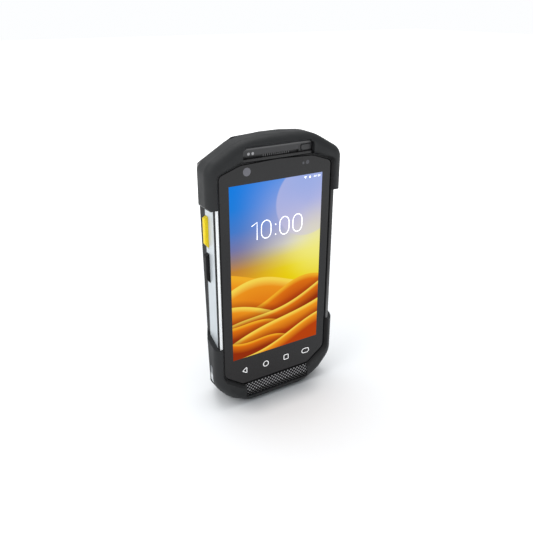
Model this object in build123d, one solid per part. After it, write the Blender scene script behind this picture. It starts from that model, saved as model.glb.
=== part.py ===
from build123d import *
import math
import os

# Handheld barcode data terminal, standing on its lower end.
# Millimetres. X to the right of the display, Y from the display to the back, Z up.
# The origin is the centre of the footprint on the ground.

# ------------------------------------------------------------------ overall
HEIGHT = 159.5
WIDTH = 84.0
DEPTH = 28.0
SIDE_PAD = 4.0
CROWN_PAD = 4.0
FOOT_PAD = 5.0
LOWER_NARROWING = 1.2

# ------------------------------------------------------------------ clearances
FIT = 0.2
PARTING = 0.3
RUNNING = 0.05
TOUCH = 0.1
THROUGH = 1.0

# ------------------------------------------------------------------ layers, front to back
GLASS_INSET = 2.3
GLASS_T = 1.1
RAIL_PROUD = 0.3
GASKET_T = 0.2
PANEL_T = 2.4
WEB_T = 1.0
RAIL_DEPTH = 11.7
BOARD_T = 1.0
BOARD_SETBACK = 2.8
BAY_DROP = 3.0
BAY_FLOOR_T = 1.5
BACK_WALL = 2.0
BATTERY_PROUD = 1.5

FRONT_Y = -DEPTH / 2
BACK_Y = DEPTH / 2
GLASS_Y = FRONT_Y + GLASS_INSET
RAIL_Y = GLASS_Y - RAIL_PROUD
GLASS_BACK_Y = GLASS_Y + GLASS_T
SEAT_Y = GLASS_BACK_Y + GASKET_T
PANEL_BACK_Y = GLASS_BACK_Y + PANEL_T
WEB_Y = PANEL_BACK_Y + TOUCH
WEB_BACK_Y = WEB_Y + WEB_T
SPLIT_Y = GLASS_Y + RAIL_DEPTH
BOARD_BACK_Y = SPLIT_Y - BOARD_SETBACK
BOARD_Y = BOARD_BACK_Y - BOARD_T
BAY_Y = SPLIT_Y + BAY_DROP
HOUSE_Y = BACK_Y - BATTERY_PROUD
CAVITY_Y = HOUSE_Y - BACK_WALL

# ------------------------------------------------------------------ body outlines
RAIL_FACE = 3.1
RAIL_WALL = 2.2
CORE_X = WIDTH / 2 - SIDE_PAD
CORE_LOW = FOOT_PAD
CORE_TOP = HEIGHT - CROWN_PAD
GLASS_X = CORE_X - RAIL_FACE
GLASS_LOW = 13.3
GLASS_DROP = 13.0
GLASS_TOP = HEIGHT - GLASS_DROP
POCKET_X = CORE_X - RAIL_WALL

BEAD_CHAMFER = 0.6
BEAD_GROOVE_Y = RAIL_Y + 1.0
BEAD_GROOVE_W = 0.35
BEAD_GROOVE_DEPTH = 0.3

CORE_LOW_IN = 16.0
CORE_LOW_RISE = 14.0
CORE_TOP_IN = 17.0
CORE_TOP_FALL = 10.5
CORE_CORNER = 5.0
CORE_OUTLINE = [
    (CORE_X - CORE_LOW_IN, CORE_LOW, CORE_CORNER),
    (CORE_X, CORE_LOW + CORE_LOW_RISE, CORE_CORNER),
    (CORE_X, CORE_TOP - CORE_TOP_FALL, CORE_CORNER),
    (CORE_X - CORE_TOP_IN, CORE_TOP, CORE_CORNER),
]
GLASS_LOW_IN = 11.9
GLASS_LOW_RISE = 8.4
GLASS_LOW_CORNER = 5.0
GLASS_TOP_IN = 12.4
GLASS_TOP_FALL = 5.2
GLASS_TOP_CORNER = 3.0
GLASS_BOW = 0.9
GLASS_BEND = 10.0
GLASS_ARC = 60.0
GLASS_OUTLINE = [
    (GLASS_X - GLASS_LOW_IN, GLASS_LOW, GLASS_LOW_CORNER),
    (GLASS_X, GLASS_LOW + GLASS_LOW_RISE, GLASS_LOW_CORNER),
    (GLASS_X, GLASS_TOP - GLASS_TOP_FALL, GLASS_TOP_CORNER),
    (GLASS_X - GLASS_TOP_IN, GLASS_TOP - GLASS_BOW, GLASS_BEND),
    (0, GLASS_TOP, GLASS_ARC),
]
CROWN_X = WIDTH / 2
CROWN_REACH = 50.0
CROWN_SHOULDER = 12.5
CROWN_SHOULDER_R = 8.0
CROWN_HIP_IN = 19.5
CROWN_HIP_FALL = 1.3
CROWN_FLAT_X = 6.0
CROWN_ARC = 30.0
CROWN_OUTLINE = [
    (CROWN_X, HEIGHT - CROWN_REACH, 0),
    (CROWN_X, HEIGHT - CROWN_SHOULDER, CROWN_SHOULDER_R),
    (CROWN_X - CROWN_HIP_IN, HEIGHT - CROWN_HIP_FALL, CROWN_ARC),
    (CROWN_FLAT_X, HEIGHT, CROWN_ARC),
]
FOOT_X = WIDTH / 2 - LOWER_NARROWING
FOOT_FLAT_IN = 20.8
FOOT_ARC = 20.0
FOOT_KNEE_IN = 8.8
FOOT_KNEE_RISE = 6.1
FOOT_SIDE_RISE = 16.5
FOOT_SIDE_R = 14.0
FOOT_REACH = 60.0
FOOT_OUTLINE = [
    (FOOT_X - FOOT_FLAT_IN, 0, FOOT_ARC),
    (FOOT_X - FOOT_KNEE_IN, FOOT_KNEE_RISE, FOOT_ARC),
    (FOOT_X, FOOT_SIDE_RISE, FOOT_SIDE_R),
    (FOOT_X, FOOT_REACH, 0),
]

# ------------------------------------------------------------------ bumpers
CREASE_Y = -2.0
CROWN_BACK_Y = 5.0
FOOT_BACK_Y = 6.0
CROWN_TAPER = 24.0
FOOT_TAPER = 0.0
ROLL = 5.0
WINDOW_GAP = 0.4
WINDOW_FLARE = 36.0
CROWN_FRONT_L = 35.0
CROWN_L = 37.0
CROWN_END_FRONT_Z = HEIGHT - CROWN_FRONT_L
CROWN_END_Z = HEIGHT - CROWN_L
ARM_CORNER = 3.6
FOOT_END_FRONT_Z = 41.0
FOOT_END_BACK_Z = 47.5
END_SLANT = 0.5
END_STEP_Y = 3.0
END_STEP = 0.8
CROWN_END_RISE = 2.0
FOOT_TIP_Y = 2.0
FLANGE_STEP = 0.1
CROWN_FLANGE = FLANGE_STEP + (CROWN_BACK_Y - CREASE_Y) * math.tan(math.radians(CROWN_TAPER))
FOOT_FLANGE = FLANGE_STEP + (FOOT_BACK_Y - CREASE_Y) * math.tan(math.radians(FOOT_TAPER))
FLANGE_ROUND = 4.0
HULL_LEAN = 26.5
HULL_IN = 2.7
HULL_RISE = 45.0
HULL_SPREAD = 1.0
HULL_WALL = 2.2
CROWN_HULL_IN = 0.5
CROWN_HULL_SPREAD = 0.0
FOOT_HULL_IN = 2.5
FOOT_HULL_SPREAD = 1.7
CORE_ROUND = 8.0
SHOULDER_LEAN = 23.0
SHOULDER_IN = 0.3

# ------------------------------------------------------------------ display
# The lit picture, 58.53 x 104.05, lies 1.7 inside the panel's sides and 3.0 inside its ends.
PANEL_SIDE_GAP = 3.935
PANEL_LOW_GAP = 14.975
PANEL_TOP_GAP = 8.175
GLASS_EDGE = 0.35
SEAT_LEDGE = 1.6
FLEX_W = 20.0
FLEX_T = 0.2
FLEX_DROP = 2.6
FLEX_REACH = 4.5
FLEX_TAB = 2.0
PANEL_X = GLASS_X - PANEL_SIDE_GAP
PANEL_LOW = GLASS_LOW + PANEL_LOW_GAP
PANEL_TOP = GLASS_TOP - PANEL_TOP_GAP
FLEX_Z = PANEL_LOW - FLEX_DROP

# ------------------------------------------------------------------ glass windows
CAMERA_X = -18.6
CAMERA_DROP = 4.7
CAMERA_Z = GLASS_TOP - CAMERA_DROP
CAMERA_R = 2.25
SENSOR_SPOTS = [(GLASS_X - 18.5, GLASS_TOP - 4.5, 0.7), (GLASS_X - 15.8, GLASS_TOP - 4.3, 1.1)]
CAMERA_BODY = 6.0

# ------------------------------------------------------------------ earpiece trim
TRIM_INSET = 16.3
TRIM_X = CORE_X - TRIM_INSET
TRIM_STEP = 0.4
TRIM_LOW = GLASS_TOP + TRIM_STEP
TRIM_H = 6.7
TRIM_TOP = TRIM_LOW + TRIM_H
TRIM_DEPTH = 3.2
TRIM_BACK_Y = GLASS_Y + TRIM_DEPTH
LIP_H = 1.3
GROOVE_H = 1.5
GROOVE_DEPTH = 2.0
GROOVE_Y = GLASS_Y + GROOVE_DEPTH
SLOPE_LOW_DEPTH = 0.9
SLOPE_LOW_Y = GLASS_Y + SLOPE_LOW_DEPTH
SLOPE_TOP_DEPTH = 0.3
SLOPE_TOP_Y = GLASS_Y + SLOPE_TOP_DEPTH
TRIM_CORNER = 1.8
TRIM_LEDGE = 1.0
BROW = 1.3
GRILLE_X = 8.0
GRILLE_RIBS = 13
GRILLE_RIB_W = 0.6
LIGHT_INSET = 4.6
LIGHT_PITCH = 2.5
LIGHT_XS = [LIGHT_INSET - TRIM_X, LIGHT_INSET + LIGHT_PITCH - TRIM_X]
LIGHT_RISE = 4.2
LIGHT_Z = GLASS_TOP + LIGHT_RISE
LIGHT_R = 0.75
POWER_INSET = 3.9
POWER_X = TRIM_X - POWER_INSET
POWER_W = 6.0
POWER_H = 3.0
POWER_ROUND = 1.0
POWER_RISE = 4.1
POWER_Z = GLASS_TOP + POWER_RISE
POWER_PANEL_W = 8.1
POWER_PANEL_X = TRIM_X - POWER_PANEL_W
POWER_PROUD = 0.25
POWER_TRAVEL = 0.4
POWER_FLANGE = 0.6

# ------------------------------------------------------------------ side keys
KEY_DEPTH = 9.2
KEY_Y = GLASS_Y + KEY_DEPTH
KEY_W = 3.0
KEY_PROUD = 2.0
KEY_RAMP = 2.4
KEY_FLANGE = 0.8
KEY_FLANGE_T = 0.6
KEY_TRAVEL = 0.6
KEY_ROUND = 0.6
SCAN_DROP = 12.5
SCAN_Z = CROWN_END_Z - SCAN_DROP
SCAN_L = 17.5
TALK_PITCH = 20.8
TALK_Z = SCAN_Z - TALK_PITCH
TALK_L = 17.0
ROCKER_PITCH = 23.0
ROCKER_Z = SCAN_Z - ROCKER_PITCH
ROCKER_L = 20.0
ROCKER_PROUD = 1.6
ROCKER_PIN_R = 0.6
ROCKER_PIN_INSET = 1.2
ROCKER_HUB_R = 1.1
ROCKER_THROW = 0.4
ROCKER_BOARD_REACH = 2.6
EAR_T = 0.7
EAR_H = 2.6
KEY_BOARD_T = 0.6
DOME_R = 1.8
DOME_T = 0.4

# ------------------------------------------------------------------ sound
SPEAKER_INSET = 13.2
SPEAKER_X = GLASS_X - SPEAKER_INSET
SPEAKER_STEP = 0.2
SPEAKER_TOP = GLASS_LOW - SPEAKER_STEP
SPEAKER_DROP = 8.4
SPEAKER_LOW = GLASS_LOW - SPEAKER_DROP
SPEAKER_BULGE_DROP = 5.2
SPEAKER_BULGE_Z = GLASS_LOW - SPEAKER_BULGE_DROP
SPEAKER_TUCK = 0.8
SPEAKER_SLOT_RISE = 3.4
SPEAKER_SLOTS = 7
SPEAKER_SLOT_W = 3.2
SPEAKER_BOX_X = 16.0
SPEAKER_BOX_T = 4.5

# ------------------------------------------------------------------ battery
BAY_WALL = 9.0
BAY_LOW = 24.0
BAY_H = 80.0
BATTERY_PIVOT_UP = 3.5
BATTERY_PIVOT_R = 3.2
BATTERY_SWING = 45.0
BATTERY_COVER_T = 1.4
CASE_WALL = 1.2
LUG_R = 1.5
LUG_L = 2.4
BAY_X = CORE_X - BAY_WALL
BAY_TOP = BAY_LOW + BAY_H
BATTERY_X = BAY_X - PARTING
BATTERY_FRONT_Y = BAY_Y + PARTING
PIVOT_Y = BATTERY_FRONT_Y + BATTERY_PIVOT_R
PIVOT_Z = BAY_LOW + BATTERY_PIVOT_UP
COVER_Y = BACK_Y - BATTERY_COVER_T

# ------------------------------------------------------------------ battery latches
LATCH_DROP = 10.0
LATCH_Z = BAY_TOP - LATCH_DROP
LATCH_H = 11.0
LATCH_TRAVEL = 1.8
LATCH_POCKET = 5.0
LATCH_SETBACK = 5.4
LATCH_FRONT_Y = SPLIT_Y + LATCH_SETBACK
LATCH_COVER_GAP = 1.2
LATCH_D = COVER_Y - LATCH_COVER_GAP - LATCH_FRONT_Y
LATCH_GRIP = 0.3
NOSE_H = 4.0
NOSE_T = 1.0
NOSE_REACH = 1.4
NOSE_SHORT = 0.2
CATCH_DEPTH = 0.8
SCOOP_MARGIN = 2.0
SCOOP_SETBACK = 4.8
SCOOP_Y = SPLIT_Y + SCOOP_SETBACK

# ------------------------------------------------------------------ battery contacts
CONTACT_SIDE = 10.7
CONTACT_X = BATTERY_X - CONTACT_SIDE
CONTACT_RISE = 12.0
CONTACT_Z = BAY_LOW + CONTACT_RISE
CONTACT_PITCH = 2.5
CONTACT_COUNT = 4
CONTACT_BLOCK_H = 5.0

# ------------------------------------------------------------------ card door
DOOR_W = 22.0
DOOR_H = 17.0
DOOR_T = 1.0
DOOR_X = -2.0
DOOR_RISE = 12.0
DOOR_PIVOT_Z = BAY_LOW + DOOR_RISE
DOOR_BARREL_R = 1.1
DOOR_PIN_R = 0.5
DOOR_LUG_W = 5.0
DOOR_LEDGE = 1.0
CARD_W = 11.0
CARD_H = 14.0
CARD_T = 0.8
SOCKET_WALL = 1.5
SOCKET_T = 2.4
DOOR_PIVOT_Y = BAY_Y - DOOR_BARREL_R

# ------------------------------------------------------------------ rear fittings
STRAP_SLOT_W = 22.0
STRAP_SLOT_H = 11.0
STRAP_SLOT_DEPTH = 7.2
STRAP_BAR_R = 1.2
STRAP_BAR_INSET = 1.5
STRAP_BAR_GRIP = 2.0
STRAP_WALL = 1.6
STRAP_DROP = 7.0
STRAP_LOW_Z = BAY_LOW - STRAP_DROP
STRAP_RISE = 9.0
STRAP_HIGH_Z = BAY_TOP + STRAP_RISE
PORT_W = 24.0
PORT_H = 6.0
PORT_Z = 6.8
PORT_DEPTH = 4.0
PORT_PADS = 10
PORT_PITCH = 2.1
PAD_W = 1.3
PAD_T = 0.3
REAR_CAMERA_RISE = 13.3
REAR_CAMERA_Z = STRAP_HIGH_Z + REAR_CAMERA_RISE
REAR_CAMERA_R = 4.4
REAR_CAMERA_RIM = 0.8
FLASH_X = -12.0
FLASH_R = 2.0
LENS_T = 1.2
CAMERA_BLOCK = 9.0
CAMERA_BLOCK_T = 5.0

# ------------------------------------------------------------------ scanning
SCAN_BLOCK_X = 19.5
SCAN_BLOCK_DROP = 1.8
SCAN_FACE_Y = 4.5
SCAN_WINDOW_W = 28.0
SCAN_WINDOW_H = 8.0
SCAN_WINDOW_T = 1.2
SCAN_WINDOW_REBATE = 1.2
SCAN_TILT = 45.0
ENGINE_W = 22.0
ENGINE_H = 7.0
ENGINE_L = 8.0
ENGINE_DEPTH = 13.0
BRACKET_T = 1.2
BRACKET_DROP = 13.5
BRACKET_LOW = CORE_TOP - BRACKET_DROP

# ------------------------------------------------------------------ side contacts
SIDE_CONTACT_Z = 22.3
SIDE_CONTACT_H = 14.0
SIDE_CONTACT_DEPTH = 6.0
SIDE_CONTACT_Y = GLASS_Y + SIDE_CONTACT_DEPTH
SIDE_CONTACT_W = 4.2
SIDE_CONTACT_T = 1.4
SIDE_CONTACT_SUNK = 0.5

# ------------------------------------------------------------------ inside
BOARD_SIDE_GAP = 3.4
BOARD_X = POCKET_X - BOARD_SIDE_GAP
BOARD_RISE = 2.0
BOARD_LOW = BAY_LOW + BOARD_RISE
BOARD_DROP = 17.5
BOARD_TOP = CORE_TOP - BOARD_DROP
BOARD_SCREW_SIDE = 4.4
BOARD_SCREW_X = BOARD_X - BOARD_SCREW_SIDE
BOARD_SCREW_INSET = 5.0
BOARD_SCREW_GAP = 47.0
BOARD_SCREW_LOW = BOARD_LOW + BOARD_SCREW_INSET
BOARD_SCREW_ZS = [BOARD_SCREW_LOW, BOARD_SCREW_LOW + BOARD_SCREW_GAP, BOARD_TOP - BOARD_SCREW_INSET]
BOARD_BOSS_R = 2.0
BOARD_SCREW_R = 0.8
BOARD_HEAD_R = 1.6
BOARD_HEAD_T = 0.7
SHIELD_T = 1.8
SHIELD_DROPS = [(-16.0, 30.0, 22.0, 16.0), (10.0, 26.0, 22.0, 22.0), (0, 56.0, 44.0, 22.0)]
CELL_X = -16.0
CELL_DROP = 14.0
CELL_Z = BOARD_TOP - CELL_DROP
CELL_R = 4.8
CELL_T = 2.0
MOTOR_R = 1.9
MOTOR_L = 9.0
MOTOR_SIDE = 7.4
MOTOR_X = BOARD_X - MOTOR_SIDE
MOTOR_DROP = 4.5
MOTOR_Z = BOARD_LOW - MOTOR_DROP
ANTENNA_INSET = 22.0
ANTENNA_X = CORE_X - ANTENNA_INSET
ANTENNA_DROP = 24.0
ANTENNA_Z = CORE_TOP - ANTENNA_DROP
ANTENNA_W = 13.0
ANTENNA_H = 14.0
ANTENNA_T = 0.35
CASE_SCREW_SIDE = 12.0
CASE_SCREW_X = CORE_X - CASE_SCREW_SIDE
CASE_SCREW_INSET = 9.5
CASE_SCREWS = [
    (CASE_SCREW_X, CORE_LOW + CASE_SCREW_INSET),
    (CASE_SCREW_X, CORE_TOP - CASE_SCREW_INSET),
]
CASE_BOSS_R = 2.8
CASE_SCREW_R = 1.1
CASE_HEAD_R = 2.2
CASE_HEAD_T = 1.6
CASE_HEAD_DEPTH = 4.0
CASE_SCREW_BITE = 6.0


# ------------------------------------------------------------------ helpers
def outline(corners):
    """Closed X-Z sketch, mirrored about x = 0, from its right-hand corners (x, z, radius)."""
    mirrored = [(-x, z, radius) for x, z, radius in reversed(corners) if x != 0]
    ring = corners + mirrored
    points = [(x, z) for x, z, radius in ring]
    radii = [radius for x, z, radius in ring]
    return make_face(FilletPolyline(*points, radius=radii, close=True))


def slab(sketch, front, back):
    """Prism of an X-Z sketch between two depths."""
    return extrude(Plane.XZ.offset(-back) * sketch, amount=back - front, dir=(0, -1, 0))


def bar(sketch, low, high):
    """Prism along X of a sketch drawn as (y, z)."""
    return extrude(Plane.YZ.offset(low) * sketch, amount=high - low, dir=(1, 0, 0))


def block(x0, x1, y0, y1, z0, z1):
    """Box between two corners."""
    return Pos((x0 + x1) / 2, (y0 + y1) / 2, (z0 + z1) / 2) * Box(x1 - x0, y1 - y0, z1 - z0)


def rod_y(x, z, radius, front, back):
    """Round rod along Y."""
    turned = Rot(90, 0, 0) * Cylinder(radius, back - front)
    return Pos(x, (front + back) / 2, z) * turned


def rod_x(y, z, radius, low, high):
    """Round rod along X."""
    turned = Rot(0, 90, 0) * Cylinder(radius, high - low)
    return Pos((low + high) / 2, y, z) * turned


def round_block(x0, x1, y0, y1, z0, z1, radius):
    """Box with rounded corners in the X-Z view."""
    sketch = Pos((x0 + x1) / 2, (z0 + z1) / 2) * RectangleRounded(x1 - x0, z1 - z0, radius)
    return slab(sketch, y0, y1)


def grown(corners, amount):
    """Outline enlarged all round by an amount."""
    return offset(outline(corners), amount)


def beside_hull(inset, spread):
    """Everything outside the two side faces that lean in towards the rear."""
    lean = math.radians(HULL_LEAN)
    flare = math.tan(math.radians(spread))
    face = Plane(
        origin=(WIDTH / 2 - inset, SPLIT_Y, HULL_RISE), x_dir=(0, 0, 1), z_dir=(1, math.tan(lean), -flare)
    )
    right = face * Pos(0, 0, HEIGHT / 2) * Box(2 * HEIGHT, 2 * HEIGHT, HEIGHT)
    return right + mirror(right, Plane.YZ)


def behind_shoulders(inset):
    """Everything outside two planes that follow the crown's shoulders and lean in towards the rear."""
    fall = CROWN_SHOULDER - CROWN_HIP_FALL
    run = math.hypot(fall, CROWN_HIP_IN)
    out_x = fall / run
    out_z = CROWN_HIP_IN / run
    face = Plane(
        origin=(CROWN_X - inset * out_x, CREASE_Y, HEIGHT - CROWN_SHOULDER - inset * out_z),
        x_dir=(out_z, 0, -out_x),
        z_dir=(out_x, math.tan(math.radians(SHOULDER_LEAN)), out_z),
    )
    right = face * Pos(0, 0, HEIGHT / 2) * Box(2 * HEIGHT, 2 * HEIGHT, HEIGHT)
    return right + mirror(right, Plane.YZ)


def front_edges(solid):
    return solid.faces().sort_by(Axis.Y)[0].edges()


def back_edges(solid):
    return solid.faces().sort_by(Axis.Y)[-1].edges()



def group(solids):
    """Separate solids kept together as one sub-part."""
    flat = []
    for item in solids:
        flat.extend(item.solids())
    return Compound(children=flat)


# ------------------------------------------------------------------ display stack
def display_glass():
    glass = slab(outline(GLASS_OUTLINE), GLASS_Y, GLASS_BACK_Y)
    glass = fillet(front_edges(glass), GLASS_EDGE)
    glass -= rod_y(CAMERA_X, CAMERA_Z, CAMERA_R, GLASS_Y - THROUGH, GLASS_BACK_Y + THROUGH)
    for x, z, radius in SENSOR_SPOTS:
        glass -= rod_y(x, z, radius, GLASS_Y - THROUGH, GLASS_BACK_Y + THROUGH)
    return glass


def display_panel():
    return block(-PANEL_X, PANEL_X, GLASS_BACK_Y, PANEL_BACK_Y, PANEL_LOW, PANEL_TOP)


def display_gasket():
    ring = slab(outline(GLASS_OUTLINE), GLASS_BACK_Y, SEAT_Y)
    ring -= seat_opening(GLASS_BACK_Y - THROUGH, SEAT_Y + THROUGH)
    return ring


def seat_opening(front, back):
    """The room inside the ledge that carries the glass."""
    return slab(grown(GLASS_OUTLINE, -SEAT_LEDGE), front, back)


def display_flex():
    fold_y = (GLASS_BACK_Y + PANEL_BACK_Y) / 2
    down = block(-FLEX_W / 2, FLEX_W / 2, fold_y, fold_y + FLEX_T, FLEX_Z, PANEL_LOW)
    back_y = fold_y + FLEX_REACH + FLEX_T
    return down + block(-FLEX_W / 2, FLEX_W / 2, fold_y, back_y, FLEX_Z, FLEX_Z + FLEX_T)


def front_camera_lens():
    return rod_y(CAMERA_X, CAMERA_Z, CAMERA_R, GLASS_Y, GLASS_BACK_Y)


def sensor_windows():
    return group([rod_y(x, z, radius, GLASS_Y, GLASS_BACK_Y) for x, z, radius in SENSOR_SPOTS])


def front_camera_module():
    half = CAMERA_BODY / 2
    body = block(
        CAMERA_X - half, CAMERA_X + half, SEAT_Y, WEB_BACK_Y + WEB_T, CAMERA_Z - half, CAMERA_Z + half
    )
    return body + rod_y(CAMERA_X, CAMERA_Z, CAMERA_R, GLASS_BACK_Y, SEAT_Y)


# ------------------------------------------------------------------ front frame
def key_slots(clearance):
    """Openings in the rails for the side keys, as (side, z, length)."""
    return [
        (-1, SCAN_Z, SCAN_L + 2 * clearance),
        (-1, TALK_Z, TALK_L + 2 * clearance),
        (1, SCAN_Z, SCAN_L + 2 * clearance),
        (1, ROCKER_Z, ROCKER_L + 2 * PARTING),
    ]


def front_frame():
    frame = slab(outline(CORE_OUTLINE), RAIL_Y, SPLIT_Y)
    frame = chamfer(front_edges(frame), BEAD_CHAMFER)
    frame -= slab(grown(CORE_OUTLINE, TOUCH), BEAD_GROOVE_Y, BEAD_GROOVE_Y + BEAD_GROOVE_W) - slab(
        grown(CORE_OUTLINE, -BEAD_GROOVE_DEPTH), RAIL_Y, SPLIT_Y
    )
    frame -= slab(grown(GLASS_OUTLINE, WINDOW_GAP), RAIL_Y - THROUGH, SEAT_Y)
    frame -= block(
        -PANEL_X - PARTING, PANEL_X + PARTING, SEAT_Y - THROUGH, WEB_Y, FLEX_Z - PARTING, PANEL_TOP + PARTING
    )
    rear = slab(grown(CORE_OUTLINE, -RAIL_WALL), WEB_BACK_Y, SPLIT_Y + THROUGH)
    frame -= rear
    frame -= block(
        -FLEX_W / 2 - FIT,
        FLEX_W / 2 + FIT,
        WEB_Y - THROUGH,
        WEB_BACK_Y + THROUGH,
        FLEX_Z - PARTING,
        PANEL_LOW,
    )
    frame -= trim_seat()
    frame -= camera_seat()
    for slot in speaker_slots(RAIL_Y - THROUGH, WEB_BACK_Y + THROUGH):
        frame -= slot
    for x, z in board_screw_spots():
        boss = rod_y(x, z, BOARD_BOSS_R, WEB_BACK_Y - FIT, BOARD_Y)
        frame += boss
        frame -= rod_y(x, z, BOARD_SCREW_R, WEB_BACK_Y, BOARD_Y + THROUGH)
    for x, z in case_screw_spots():
        frame += rod_y(x, z, CASE_BOSS_R, WEB_BACK_Y - FIT, SPLIT_Y)
        frame -= rod_y(x, z, CASE_SCREW_R, SPLIT_Y - CASE_SCREW_BITE, SPLIT_Y + THROUGH)
    for side, z, length in key_slots(FIT):
        inner = side * (POCKET_X - THROUGH)
        outer = side * (CORE_X + THROUGH)
        frame -= block(
            min(inner, outer),
            max(inner, outer),
            KEY_Y - KEY_W / 2 - FIT,
            KEY_Y + KEY_W / 2 + FIT,
            z - length / 2,
            z + length / 2,
        )
    for ear in rocker_ears():
        frame += ear
    frame -= rocker_axle(ROCKER_PIN_R + TOUCH / 4)
    return frame


def trim_seat():
    """Room in the frame for the earpiece trim, open to the rear behind its groove."""
    half = TRIM_X + FIT
    low = TRIM_LOW - WINDOW_GAP
    seat = round_block(
        -half, half, RAIL_Y - THROUGH, TRIM_BACK_Y, low, TRIM_TOP + FIT, TRIM_CORNER
    )
    well = block(
        -TRIM_X,
        TRIM_X,
        TRIM_BACK_Y - FIT,
        WEB_BACK_Y + THROUGH,
        TRIM_LOW + TRIM_LEDGE,
        TRIM_TOP - TRIM_LEDGE,
    )
    return seat + well


def camera_seat():
    half = CAMERA_BODY / 2 + FIT
    return block(
        CAMERA_X - half,
        CAMERA_X + half,
        SEAT_Y - THROUGH,
        WEB_BACK_Y + THROUGH,
        CAMERA_Z - half,
        CAMERA_Z + half,
    )


def speaker_slots(front, back):
    pitch = 2 * SPEAKER_BOX_X / SPEAKER_SLOTS
    low = SPEAKER_LOW + SPEAKER_SLOT_RISE
    high = SPEAKER_TOP - THROUGH
    slots = []
    for index in range(SPEAKER_SLOTS):
        x = (index - (SPEAKER_SLOTS - 1) / 2) * pitch
        half = SPEAKER_SLOT_W / 2
        slots.append(block(x - half, x + half, front, back, low, high))
    return slots


def board_screw_spots():
    return [(side * BOARD_SCREW_X, z) for side in (-1, 1) for z in BOARD_SCREW_ZS]


def case_screw_spots():
    return [(side * x, z) for side in (-1, 1) for x, z in CASE_SCREWS]


def rocker_axle(radius):
    """Rod on the volume rocker's pivot line, from ear to ear."""
    x = POCKET_X - ROCKER_PIN_INSET
    half = KEY_W / 2 + FIT + EAR_T
    return rod_y(x, ROCKER_Z, radius, KEY_Y - half, KEY_Y + half)


def rocker_ears():
    inner = POCKET_X - ROCKER_PIN_INSET - EAR_H / 2
    ears = []
    for side in (-1, 1):
        near = KEY_Y + side * (KEY_W / 2 + FIT)
        far = near + side * EAR_T
        low_z = ROCKER_Z - EAR_H / 2
        ears.append(
            block(inner, POCKET_X + FIT, min(near, far), max(near, far), low_z, low_z + EAR_H)
        )
    return ears


# ------------------------------------------------------------------ rear housing
def rear_housing():
    shell = slab(outline(CORE_OUTLINE), SPLIT_Y, HOUSE_Y)
    shell = fillet(back_edges(shell), CORE_ROUND)
    for flange in (crown_flange(), foot_flange()):
        shell += flange
    shell -= beside_hull(HULL_IN, HULL_SPREAD)
    shell -= behind_shoulders(SHOULDER_IN)
    shell -= scan_face_cut()
    cavity = slab(grown(CORE_OUTLINE, -RAIL_WALL), SPLIT_Y - THROUGH, CAVITY_Y)
    cavity = fillet(back_edges(cavity), CORE_ROUND - RAIL_WALL)
    cavity -= beside_hull(HULL_IN + HULL_WALL, HULL_SPREAD)
    for keep in cavity_keeps():
        cavity -= keep
    shell -= cavity
    shell -= battery_bay()
    for z in (STRAP_LOW_Z, STRAP_HIGH_Z):
        shell -= strap_slot(z)
        shell -= strap_bar(z, STRAP_BAR_GRIP)
    shell -= port_block(FIT)
    for x, z in case_screw_spots():
        shell -= rod_y(x, z, CASE_SCREW_R + FIT, SPLIT_Y - THROUGH, HOUSE_Y)
        shell -= rod_y(x, z, CASE_HEAD_R + FIT, HOUSE_Y - CASE_HEAD_DEPTH - CASE_HEAD_T, HOUSE_Y + THROUGH)
    shell -= camera_ports()
    shell -= window_rebate()
    shell -= card_door_cut()
    shell -= contact_cut()
    return shell


def crown_flange():
    """Rim behind the top bumper, a little inside the bumper's outline."""
    rim = slab(grown(CROWN_OUTLINE, -CROWN_FLANGE), CROWN_BACK_Y, HOUSE_Y)
    rim = fillet(back_edges(rim), FLANGE_ROUND)
    centre = block(
        -SCAN_BLOCK_X, SCAN_BLOCK_X, SCAN_FACE_Y, HOUSE_Y - FLANGE_ROUND, CORE_TOP - THROUGH, HEIGHT
    )
    rim += centre & slab(grown(CROWN_OUTLINE, -SCAN_BLOCK_DROP), SCAN_FACE_Y, HOUSE_Y)
    rim -= block(-WIDTH, WIDTH, SCAN_FACE_Y - THROUGH, HOUSE_Y + THROUGH, 0, CROWN_END_Z)
    return rim


def foot_flange():
    """Rim behind the bottom bumper."""
    rim = slab(grown(FOOT_OUTLINE, -FOOT_FLANGE), FOOT_BACK_Y, HOUSE_Y)
    rim = fillet(back_edges(rim), FLANGE_ROUND)
    rim -= block(-WIDTH, WIDTH, FOOT_BACK_Y - THROUGH, HOUSE_Y + THROUGH, FOOT_END_BACK_Z, HEIGHT)
    return rim


def scan_plane():
    """Plane on the sloping face at the top rear, its normal pointing up and back."""
    drop = HOUSE_Y - SCAN_FACE_Y
    middle_z = HEIGHT - SCAN_BLOCK_DROP - drop / 2
    tilt = math.radians(SCAN_TILT)
    return Plane(
        origin=(0, SCAN_FACE_Y + drop / 2, middle_z),
        x_dir=(-1, 0, 0),
        z_dir=(0, math.cos(tilt), math.sin(tilt)),
    )


def scan_face_cut():
    reach = DEPTH
    return scan_plane() * Pos(0, 0, reach / 2) * Box(2 * SCAN_BLOCK_X, reach, reach)


def window_rebate():
    rebate = scan_plane() * Pos(0, 0, -SCAN_WINDOW_T / 2) * Box(
        SCAN_WINDOW_W + 2 * TOUCH, SCAN_WINDOW_H + 2 * TOUCH, SCAN_WINDOW_T
    )
    tunnel_h = SCAN_WINDOW_H - 2 * SCAN_WINDOW_REBATE
    tunnel_w = SCAN_WINDOW_W - 2 * SCAN_WINDOW_REBATE
    tunnel = scan_plane() * Pos(0, 0, -ENGINE_L / 2) * Box(tunnel_w, tunnel_h, ENGINE_L)
    return rebate + tunnel


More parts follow.
